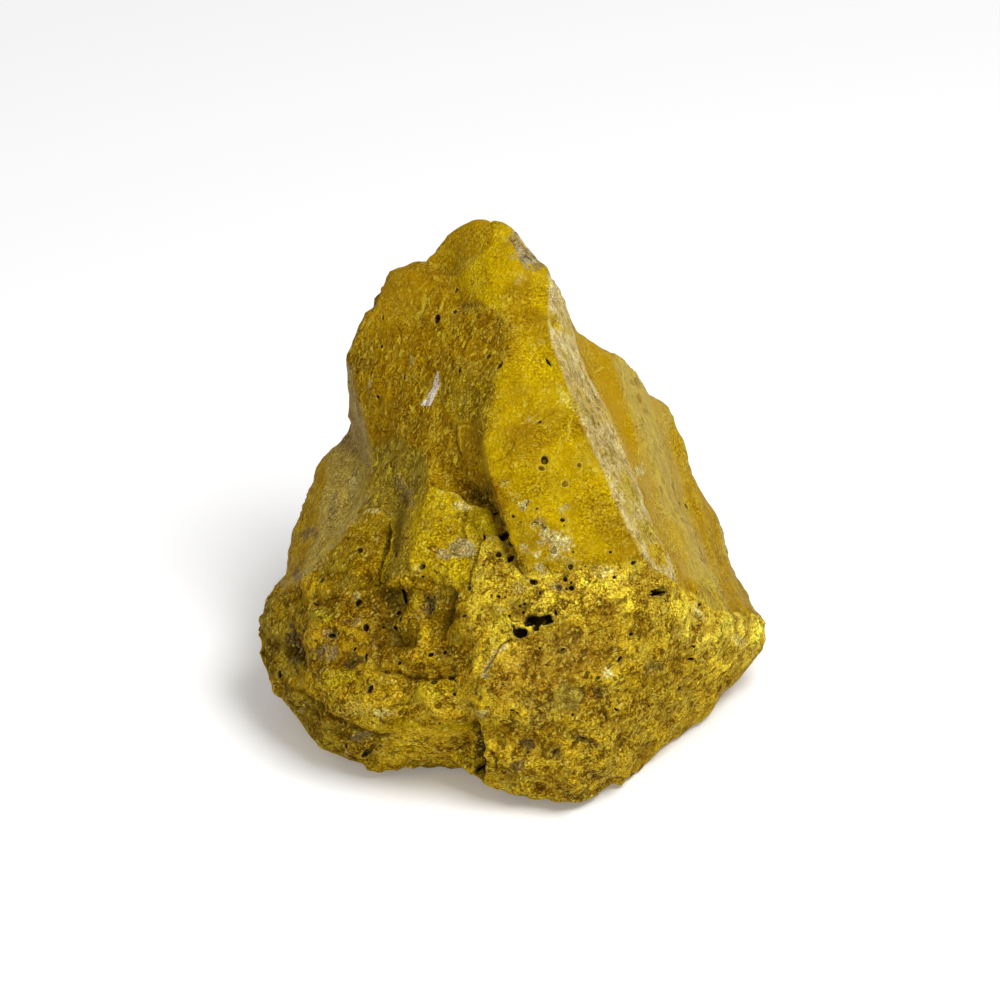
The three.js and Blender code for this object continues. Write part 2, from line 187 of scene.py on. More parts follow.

# The cavity's hollows, and the smaller one at the brow's right end: across, up, width, height, slant.
# Painted shade darkens the cavities inside.
CAVITIES = [
    (3.7, -15.2, 4.4, 2.0, -4), (4.8, -15, 2, 1.7, 0), (3.3, -16.4, 0.9, 1.3, 35), (1.3, -17, 2.2, 2, 0),
    (2.2, -15.9, 1, 0.9, 0), (5.2, -14.5, 0.8, 0.6, 20), (0.4, -16.8, 0.8, 0.9, 0), (21.2, -11.3, 2, 1, 0),
    (20.6, -11.6, 0.9, 0.6, 0),
]
CAVITY_DEPTH = 2.4

# Grooves, which fade out at both ends and hold painted shade: a line, the groove's width and its depth.
GROOVES = [
    # the dark hollow over the middle plate, and the seams round the small plate beside it
    ([(-12, 4.9), (-11.4, 4.2), (-11, 3.8), (-10, 3.5), (-9, 3.4), (-8.2, 3.2), (-7.6, 2.7), (-7, 2.1),
      (-6.4, 1.8), (-5.6, 1.5), (-5, 1.2), (-4.2, 0.8)], 0.5, 0.7),
    ([(-4.2, 1.6), (-3.2, 1.3), (-2.4, 0.4), (-1.9, -0.8), (-1.2, -2), (-0.6, -3.6), (0, -5), (0.5, -6.4),
      (1, -7.8), (1.8, -9)], 0.55, 0.8),
    ([(-6, 0.6), (-6.4, 0), (-6.8, -0.8), (-7, -1.8), (-6.9, -2.8), (-6.4, -3.8)], 0.6, 0.45),
    ([(-3.9, -3.2), (-4.6, -4), (-4.9, -5.4), (-5.4, -6.6), (-5.8, -8), (-6, -9.4), (-6.2, -10.6)], 0.5,
     0.35),
    ([(-4.2, -4.5), (-2.9, -5.8), (-2.3, -6.8), (-2, -8), (-1.2, -9.4)], 0.3, 0.25),
    # between the plates
    ([(-15.6, 4), (-16.2, 1), (-16.8, -2.4), (-17.4, -6), (-18.8, -10.5), (-20.2, -12.6)], 3.0, 0.2),
    # the lobe
    ([(-8, -10.4), (-9.2, -13), (-10.1, -15.6), (-10.4, -18.5)], 1.4, 0.9),
    ([(-18.5, -15.2), (-19.6, -17.4), (-18.9, -19.8), (-19.8, -23)], 1.1, 0.4),
    ([(-20, -22.3), (-18, -22.6), (-16.4, -22.8), (-14, -23.9), (-11.2, -23.7), (-7.4, -23.2)], 0.7, 0.5),
    ([(-15.5, -21.9), (-13, -21.5), (-11, -22), (-8.6, -21.7)], 0.4, 0.18),
    ([(-13.6, -15), (-13.2, -17), (-14, -19.4)], 0.6, 0.5),
    ([(-29.5, -15.5), (-30.3, -18), (-30.2, -22)], 0.7, 0.45),
    ([(-33.5, -24), (-30, -25.6), (-26.5, -28.4), (-23, -30.6), (-19.5, -32.2), (-16, -31.4)], 1.0, 0.45),
    ([(-32, -27), (-28, -29.6), (-24.5, -32)], 0.5, 0.35),
    ([(-18, -28), (-16.4, -27.3), (-14.2, -27.2)], 0.5, 0.35),
    # the slot between the lobe and the foot
    ([(-5.3, -29.6), (-4.9, -31.4), (-4.4, -33.4), (-4.4, -36), (-4.9, -39)], 1.7, 2.6),
    # the left face
    ([(-4.7, 28.3), (-6.4, 25.1)], 0.4, 0.3), ([(-5.9, 25.2), (-7, 23.2)], 0.45, 0.35),
    ([(-4.4, 19.6), (-5.7, 17.2)], 0.35, 0.3), ([(-6.4, 15.9), (-7.4, 14.4)], 0.4, 0.3),
    ([(-13.6, 19), (-14.4, 17.4)], 0.3, 0.25), ([(-8, 24.9), (-9, 23.9)], 0.3, 0.2),
    ([(-8, 13.2), (-7.9, 10.6), (-7.2, 8)], 0.5, 0.2),
    # the foot
    ([(12.4, -26.2), (13.2, -28.2), (14.1, -30)], 0.5, 0.5),
    ([(10.6, -17.6), (12.5, -16.6), (14.8, -16.1)], 0.35, 0.35),
    ([(-3, -33.4), (-2.2, -34.6), (-2.2, -36.6)], 0.5, 0.5), ([(1, -28.9), (0.2, -28)], 0.3, 0.3),
    ([(8.5, -33), (10, -32.3), (11.2, -32.6)], 0.6, 0.4), ([(5.8, -34.8), (6.8, -33.8)], 0.6, 0.4),
    # cracks
    ([(0.4, -17.6), (-1, -18.5), (-1.9, -19.4), (-2.4, -20.4), (-3.4, -22), (-4.2, -23.2)], 0.45, 0.6),
    ([(-4.4, -23), (-5, -24.6), (-5.2, -26.2)], 0.35, 0.4),
    ([(7.4, -12.2), (6, -13.3), (6.3, -14.8)], 0.35, 0.4),
    ([(4.8, -7.3), (5.4, -8.2), (6.2, -9.4)], 0.3, 0.35), ([(3.2, 12.6), (5.2, 14), (6.8, 14.7)], 0.25, 0.15),
    ([(-3.4, 7), (-1, 7.8), (0, 9.2), (0.5, 10.4)], 0.3, 0.2),
]

# Steps in the surface, each raised on the left of its line as the line is followed: line, rise, reach.
STEPS = [
    ([(-4, 0.6), (-5, 1), (-5.6, 1.3), (-6.4, 1.6), (-7, 1.9), (-7.6, 2.5), (-8.2, 3), (-9, 3.2), (-10, 3.3),
      (-11, 3.6), (-11.6, 4.2)], 0.9, 2.4),
    ([(-20.4, -12.4), (-19, -9.2), (-18.1, -6), (-17.7, -3), (-17.7, -0.6), (-18.3, 0.5), (-20.4, 0.8),
      (-21.8, 0.4), (-24.4, -3), (-27, -6.2), (-29.4, -9.4)], 0.6, 2.2),
    ([(-7.4, -23.2), (-11.2, -23.9), (-14, -24.1), (-16.5, -22.9), (-20, -22.7)], 0.85, 2.2),
    ([(-2.2, 38.6), (-4.6, 37.2), (-5.6, 36.4), (-6.6, 35.1), (-7.8, 34.1), (-10, 33.9),
      (-12.2, 35)], 0.5, 2.0),
    ([(-7, 29.8), (-5.3, 29.9), (-3.4, 29.3), (-2, 28.4), (-0.9, 27.1), (0.3, 26.3), (1.2, 26.4)], 0.3, 1.4),
    ([(-0.7, 27.2), (-1.5, 29.2), (0, 31), (0.8, 32)], 0.25, 0.9),
    ([(0.6, 10.4), (0.1, 9.3), (-0.8, 8), (-3, 7.2)], 0.2, 1.2),
    ([(-9.9, 16), (-9.9, 12.9), (-8, 12.4), (-7.4, 8)], 0.3, 1.6),
    ([(-11, 5), (-12.6, 2), (-13.4, -1), (-14, -4), (-15, -7), (-14.4, -8.6), (-12, -9.6),
      (-9, -10.6), (-6.8, -10.8)], 0.35, 2.0),
    ([(-24.8, -22), (-26.6, -22.2), (-27.4, -23.4), (-26, -25), (-22.6, -25), (-21.6, -23.4)], 0.3, 1.4),
]

# Soft rises and dents: across, up, width, height, slant, rise.
SWELLS = [
    (-5.8, 11.2, 4.4, 6, 0, -0.5), (-5, 3, 6.6, 4.4, -30, -0.9), (-1.2, -3.4, 2.4, 8, -22, -0.3),
    (-10, -1.5, 7.5, 9.5, 0, 0.45), (-4.2, -1.3, 4.2, 4.8, 0, 0.7), (-4.5, -6.5, 1.8, 5, 20, 0.3),
    (-16.6, -12.7, 4.6, 5.4, 20, -1.35), (-15.8, -18, 6, 3.8, 0, -1.0), (-12, -12.8, 3, 3.4, 0, -0.5),
    (-9.4, -14.4, 3, 7.5, 15, -0.7), (-22.8, -21.2, 4, 2.8, -30, -1.2), (-26.3, -19.6, 4, 2.4, 0, -0.5),
    (-31.6, -19.2, 2.6, 6.5, 0, -1.2), (-24.5, -23.5, 6, 3.2, -10, 0.5), (-27, -14.4, 4, 2.4, 0, 0.5),
    (-12.5, -26, 10, 3.4, -4, 0.6), (-11.8, -17, 2, 3.6, 0, 0.35), (-19.6, -18, 2, 4, 0, 0.35),
    (-20.5, -32.3, 7, 2, 8, -0.7), (-24, -28, 6, 4, -30, 0.5), (-18, -29.5, 5, 3, 0, 0.35),
    (-33.6, -15.5, 3, 6, 10, 0.35), (-29, -18, 2, 7, 0, 0.4), (-21, -13.6, 5, 2.4, 0, -0.5),
    (2, -33.3, 2.8, 2.2, 0, -0.6), (0.5, -36, 3, 1.8, -20, -0.5), (6.4, -34.4, 2.4, 2.2, 0, -0.6),
    (10.5, -32.5, 3.6, 1.3, 20, -0.45), (12.8, -25.8, 3, 2.8, 0, -0.6), (3.8, -28.4, 4.6, 3.4, 0, -0.5),
    (18.3, -15.2, 2.6, 4, 0, -0.6), (15.8, -21.2, 2, 2, 0, -0.4), (20.6, -22.3, 3.8, 2.4, 0, -0.4),
    (26.2, -21, 3.6, 2.4, 0, -0.4), (12.4, -37.8, 2.4, 1.2, 0, -0.4), (17, -24.4, 5.6, 3.4, 0, 0.5),
    (8, -30, 6, 2.8, 12, 0.45), (28, -17, 4.5, 4.5, 0, 0.45), (12, -12.2, 7, 3.4, 0, 0.45),
    (1, -23, 6, 4.6, 0, 0.35), (23, -27, 6, 3.4, 30, 0.35), (6, -38, 7, 3.4, 0, 0.35),
    (-2, -13, 4, 3, 0, 0.35), (6.6, -12, 1.5, 1.3, 0, 0.45), (-7, -24.2, 2.2, 2.6, 0, 0.4),
    (33, -17, 3, 3, 0, 0.4), (-20.6, 30.8, 4, 5.5, 25, -1.1), (-6.8, 29.4, 2, 2.4, 20, -0.5),
    (-9.6, 35.6, 5, 2.6, 0, -0.5), (6.2, 27, 1.5, 3.4, -28, -0.7), (-3.2, 41.6, 1.4, 1.8, 0, -0.5),
    (-1.6, 41, 2, 2, 0, 0.3), (1.4, 37.8, 2.2, 5, -25, -0.9),
]

# The crest between the bright facet and the right flank, sharpened by this much over this width each side.
RIDGE = [(2.2, 35.6), (4.6, 35), (5.1, 30), (5, 27.5), (5.6, 25), (6.3, 22), (7.8, 18), (9, 15), (10.1, 12),
         (11.3, 9.2), (12.6, 6), (14.3, 2), (16, -1.5), (17.5, -4.5), (18.8, -6.6)]
RIDGE_RISE = 0.45
RIDGE_WIDTH = 2.4

# ---- Bed colours down the flanks: the depth where each bed ends, from the back forward, and its colour ----

BEDS = [
    (-26, OCHRE), (-20, STRAW), (-12, OCHRE), (-8, BEIGE), (2.8, (0.46, 0.272, 0.003)),
    (11.4, (0.5, 0.355, 0.048)), (17.0, (0.45, 0.258, 0.001)), (17.5, OCHRE), (60, (0.6, 0.47, 0.19)),
]
BED_SPAN = 40.0  # depths from minus this to plus this are covered
BED_BLUR = 0.25

# ---- Zones of the front, as seen: outline, soft width, colour, and how chunky and how grainy it is ----

ZONES = {
    "left_face": (
        [(-26, 20), (-24, 30), (-20, 37), (-12, 37), (-11, 35), (-10, 34), (-8, 34), (-7.5, 32.5), (-5, 30),
         (-3.2, 29.4), (-2, 28.6), (-0.7, 27), (0.2, 26.2), (0.1, 24.4), (-0.8, 22.4), (-2.4, 20.4),
         (-3.2, 18), (-3.4, 15), (-3.8, 12.5), (-4.2, 10), (-4.8, 7.5), (-5, 5.2), (-7, 4.8), (-9, 4.4),
         (-11.5, 5), (-13, 2), (-14, 0), (-17, 2), (-18.5, 0.8), (-20.5, 1.2), (-21.5, 0.8), (-20.6, 4),
         (-20.4, 9), (-21.2, 14), (-22.5, 18)],
        1.0, (0.315, 0.165, 0.002), 0.1, 0.45,
    ),
    "left_face_top": (
        [(-24, 28.6), (-20, 38), (-11, 36), (-10, 34.4), (-8, 34), (-7.6, 31.6), (-11, 29.4), (-16, 27.6),
         (-20, 26)],
        1.5, (0.335, 0.18, 0.002), 0.05, 0.2,
    ),
    "left_face_edge": (
        [(-7, 21), (-1.5, 20.4), (-2.6, 18), (-3, 15), (-4.2, 12.6), (-8, 13), (-9.6, 16)],
        1.2, (0.36, 0.215, 0.005), 0.15, 0.75,
    ),
    "left_face_foot": (
        [(-20.4, 9), (-16, 11), (-12, 8), (-12, 4.5), (-13.5, 1), (-14.5, -4), (-15.5, -9), (-18.5, -10.5),
         (-17.6, -3), (-17.8, 0), (-18.5, 0.8), (-21.5, 0.8), (-20.6, 4)],
        0.9, OLIVE, 0.15, 0.5,
    ),
    "cap": (
        [(-12.4, 36.8), (-11.4, 35), (-10, 34), (-8, 34), (-6.6, 35), (-5.5, 36.4), (-3, 38.1), (-2.6, 39.5),
         (-3, 43), (-14, 43)],
        0.3, (0.39, 0.225, 0.003), 0.0, 0.25,
    ),
    # Painted shade: the niche and the hollow over the middle plate are painted darker, the gash partly over a
    # brown of its own.
    "niche": (
        [(-8, 13.2), (-4.2, 13.4), (-4.2, 10), (-4.8, 7.2), (-6.6, 7), (-7.6, 10)],
        0.7, (0.27, 0.145, 0.003), 0.0, 0.3,
    ),
    "gash": (
        [(-8.6, 3.5), (-7.4, 4.8), (-6, 5.2), (-4.6, 4.8), (-3.2, 4.2), (-2.5, 2.6), (-1.9, 0.8),
         (-1.4, -1.4), (-0.7, -3.4), (0.2, -5.4), (1, -7.4), (2.4, -9.4), (1, -8.6), (-0.4, -6.2),
         (-1.4, -4.4), (-2.1, -2.4), (-2.4, -0.8), (-3.2, 0.5), (-4.5, 1.0), (-5.6, 1.4), (-6.4, 1.7),
         (-7, 2), (-7.6, 2.6), (-8.2, 3.1)],
        0.14, (0.36, 0.18, 0.004), 0.1, 0.95,
    ),
    "gash_shade": (
        [(-8.4, 3.6), (-7.6, 5.6), (-5.6, 6.2), (-3.4, 5.6), (-1.9, 4), (-1.2, 1), (-1.6, -0.6), (-2.4, 1.4),
         (-3.4, 4), (-5.6, 4.4)],
        0.7, (0.36, 0.185, 0.003), 0.1, 0.5,
    ),
    "middle_plate": (
        [(-11.4, 4.1), (-11, 3.7), (-10, 3.4), (-9, 3.3), (-8.2, 3.1), (-7.6, 2.6), (-7, 2), (-6.4, 1.7),
         (-5.6, 1.4), (-5.9, 0.6), (-6.6, -1), (-6.2, -3.2), (-5.2, -4.2), (-5.2, -6), (-5.8, -8.5),
         (-6.3, -10), (-9, -10.3), (-12, -9.6), (-14, -8), (-14.6, -6), (-14, -4), (-13.4, -1), (-12.7, 1.5),
         (-11.8, 3.5)],
        0.15, (0.6, 0.395, 0.006), 0.1, 0.65,
    ),
    "small_plate": (
        [(-5.8, 0.6), (-4.8, 1.1), (-3.6, 0.8), (-2.5, -0.3), (-2.1, -1.8), (-2.3, -3.4), (-4.4, -3.2),
         (-6, -2.8), (-6.4, -1)],
        0.15, (0.42, 0.28, 0.005), 0.0, 0.6,
    ),
    "left_plate": (
        [(-21.8, 0.4), (-20.4, 0.8), (-18.3, 0.4), (-17.7, -0.8), (-17.7, -3), (-18.2, -6), (-19, -9.2),
         (-20.2, -11.6), (-24, -10.4), (-29.2, -9.2), (-26, -5.4), (-24, -2.8)],
        0.35, (0.33, 0.19, 0.004), 0.4, 0.75,
    ),
    "lobe": (
        [(-38, -8), (-30, -9.5), (-24, -10.6), (-20, -11.6), (-15, -8.4), (-9, -10.8), (-6.6, -10.6),
         (-6.6, -16), (-4, -20), (-5, -24), (-5, -30), (-10, -30), (-16, -29.5), (-23, -29), (-32, -31),
         (-40, -24)],
        0.9, (0.51, 0.292, 0.008), 0.8, 0.9,
    ),
    # Painted shade: lobe_hollow and lobe_slope are darker because they lie in the lobe's hollows.
    "lobe_hollow": (
        [(-17.6, -10.2), (-14.4, -10.8), (-13.9, -13), (-14.6, -15.6), (-13.6, -18.6), (-16, -19.6),
         (-18.6, -18.4), (-17.8, -15), (-19.4, -12.6)],
        1.6, (0.22, 0.125, 0.004), 0.6, 0.8,
    ),
    "lobe_slope": (
        [(-9.8, -10.6), (-8.2, -10.8), (-8.4, -13.6), (-9.6, -17), (-11.2, -19), (-10.6, -14.6)],
        0.9, (0.24, 0.135, 0.003), 0.3, 0.7,
    ),
    "lobe_left": (
        [(-38, -10), (-33, -11), (-29.5, -15), (-28.5, -21), (-33, -24), (-40, -22)],
        1.2, (0.33, 0.205, 0.012), 0.7, 0.9,
    ),
    "lobe_front": (
        [(-28, -23), (-21, -22), (-19, -23.4), (-14, -24.6), (-8, -24.2), (-5, -26), (-6, -29.4), (-16, -29),
         (-20, -31), (-27, -27.6)],
        0.8, (0.55, 0.335, 0.013), 0.7, 0.9,
    ),
    "under_lobe": (
        [(-36, -24), (-29, -25.6), (-25.5, -29), (-20, -31.6), (-18, -33), (-19, -38), (-30, -38),
         (-42, -26)],
        0.8, (0.38, 0.235, 0.01), 0.7, 0.9,
    ),
    "sole": (
        [(-19, -32), (-15, -30.6), (-6, -31), (-4.9, -32), (-4.6, -38), (-6, -39), (-20, -39)],
        0.6, (0.68, 0.425, 0.014), 0.15, 0.9,
    ),
    "brow": (
        [(-6.2, -10.6), (-5.6, -8), (-4.8, -4.6), (-2, -3.8), (-0.4, -6.8), (1.6, -9.2), (5, -8.6), (9, -8.4),
         (14, -7.4), (19, -7), (24, -10.6), (30, -13.8), (36, -14), (38, -18), (27, -15.4), (20, -15.6),
         (8, -16), (3, -17.4), (0, -19.4), (-5, -23.4), (-6.8, -16)],
        0.9, (0.88, 0.6, 0.032), 0.55, 0.95,
    ),
    "foot": (
        [(-4.6, -24.5), (0, -18.5), (4, -16.8), (9, -15.4), (20, -14.6), (28, -15.2), (33, -19), (33, -24),
         (24, -32), (16, -40), (8, -45), (-2, -43), (-5, -38), (-4.6, -32)],
        0.9, (0.64, 0.405, 0.018), 0.6, 0.95,
    ),
    "foot_brown": (
        [(-1, -19.4), (3, -17.6), (10, -16.6), (14, -18), (11, -23), (5, -26), (-1, -27), (-4, -24)],
        2.0, (0.5, 0.285, 0.018), 0.5, 0.95,
    ),
    "brow_top": (
        [(2, -10.6), (8, -9), (14, -8), (18, -8), (17, -11), (12, -13.4), (6, -12.6), (3, -13)],
        1.4, (0.98, 0.66, 0.04), 0.5, 0.95,
    ),
    "right_corner": (
        [(25, -13.4), (38, -13), (39, -22.4), (30, -20.8), (24, -18)],
        1.8, (1.00, 0.72, 0.06), 0.7, 0.9,
    ),
    "right_flank": (
        RIDGE + [(24, -10.4), (29, -13.4), (34, -14.6), (42, -14), (36, 10), (22, 24), (8, 40), (0, 42),
                 (0.4, 39.8), (1.3, 37.3)],
        0.16, STRAW, 0.1, 0.35,
    ),
    "flank_yellow": (
        [(9.2, 25.2), (10.8, 22), (12.1, 18.1), (13.5, 14.8), (14.6, 12.1), (15.9, 9.3), (17.1, 6.6),
         (18.6, 3.8), (19.4, 6), (18.6, 9.3), (17.6, 12.1), (16.7, 15.4), (15.5, 18.7), (14.5, 21.6),
         (15.5, 23), (12, 27), (9.2, 27)],
        0.3, (0.4, 0.228, 0.001), 0.0, 0.05,
    ),
    "flank_pale": (
        [(14.5, 21.6), (15.5, 18.7), (16.7, 15.4), (17.4, 12.1), (18, 9.3), (18.4, 6.6), (18.9, 3.8),
         (19.8, 0.5), (21.3, -3.3), (22.9, -6.6), (24.6, -9.4), (28.9, -9.4), (28.1, -6.6), (26.9, -3.3),
         (25.6, 0), (24.5, 3.3), (23.8, 6), (23.1, 8.8), (22.7, 11.5), (23, 14), (22.4, 17), (18, 21.4)],
        0.3, (0.42, 0.305, 0.06), 0.0, 0.1,
    ),
    "apex_strip": (
        [(2.3, 35.4), (4.7, 35.4), (5.2, 31), (5, 28), (3, 30)],
        0.3, MUSTARD, 0.0, 0.3,
    ),
    "left_shoulder": (
        [(-32, 14), (-20.6, 9), (-20.4, 6), (-21.8, 0.8), (-22.6, -0.5), (-29.2, -9.2), (-33, -10.5),
         (-40, -8), (-36, 10)],
        0.3, (0.38, 0.27, 0.06), 0.1, 0.4,
    ),
    "shoulder_strip": (
        [(-29, 9.5), (-26.2, 8.6), (-27.1, 2), (-29, -6), (-31, -9.6), (-36, -9), (-34, 2)],
        0.5, (0.36, 0.205, 0.006), 0.1, 0.4,
    ),
    "left_strip": (
        [(-27, 22), (-23, 21), (-22.5, 18), (-21.2, 14), (-20.4, 9), (-20.4, 6.5), (-24, 9), (-27, 14)],
        0.35, MAUVE, 0.1, 0.35,
    ),
}
OUTLINE, COLOUR, CHUNKY, GRAINY = 0, 2, 3, 4  # where these stand in a zone's entry

# How much of the bed colours shows in the zones where the beds are cut.
BEDDED = {
    "right_flank": 0.95, "flank_yellow": 0.2, "flank_pale": 0.45,
    "left_shoulder": 0.2, "shoulder_strip": 0.2, "left_strip": 0.35,
}

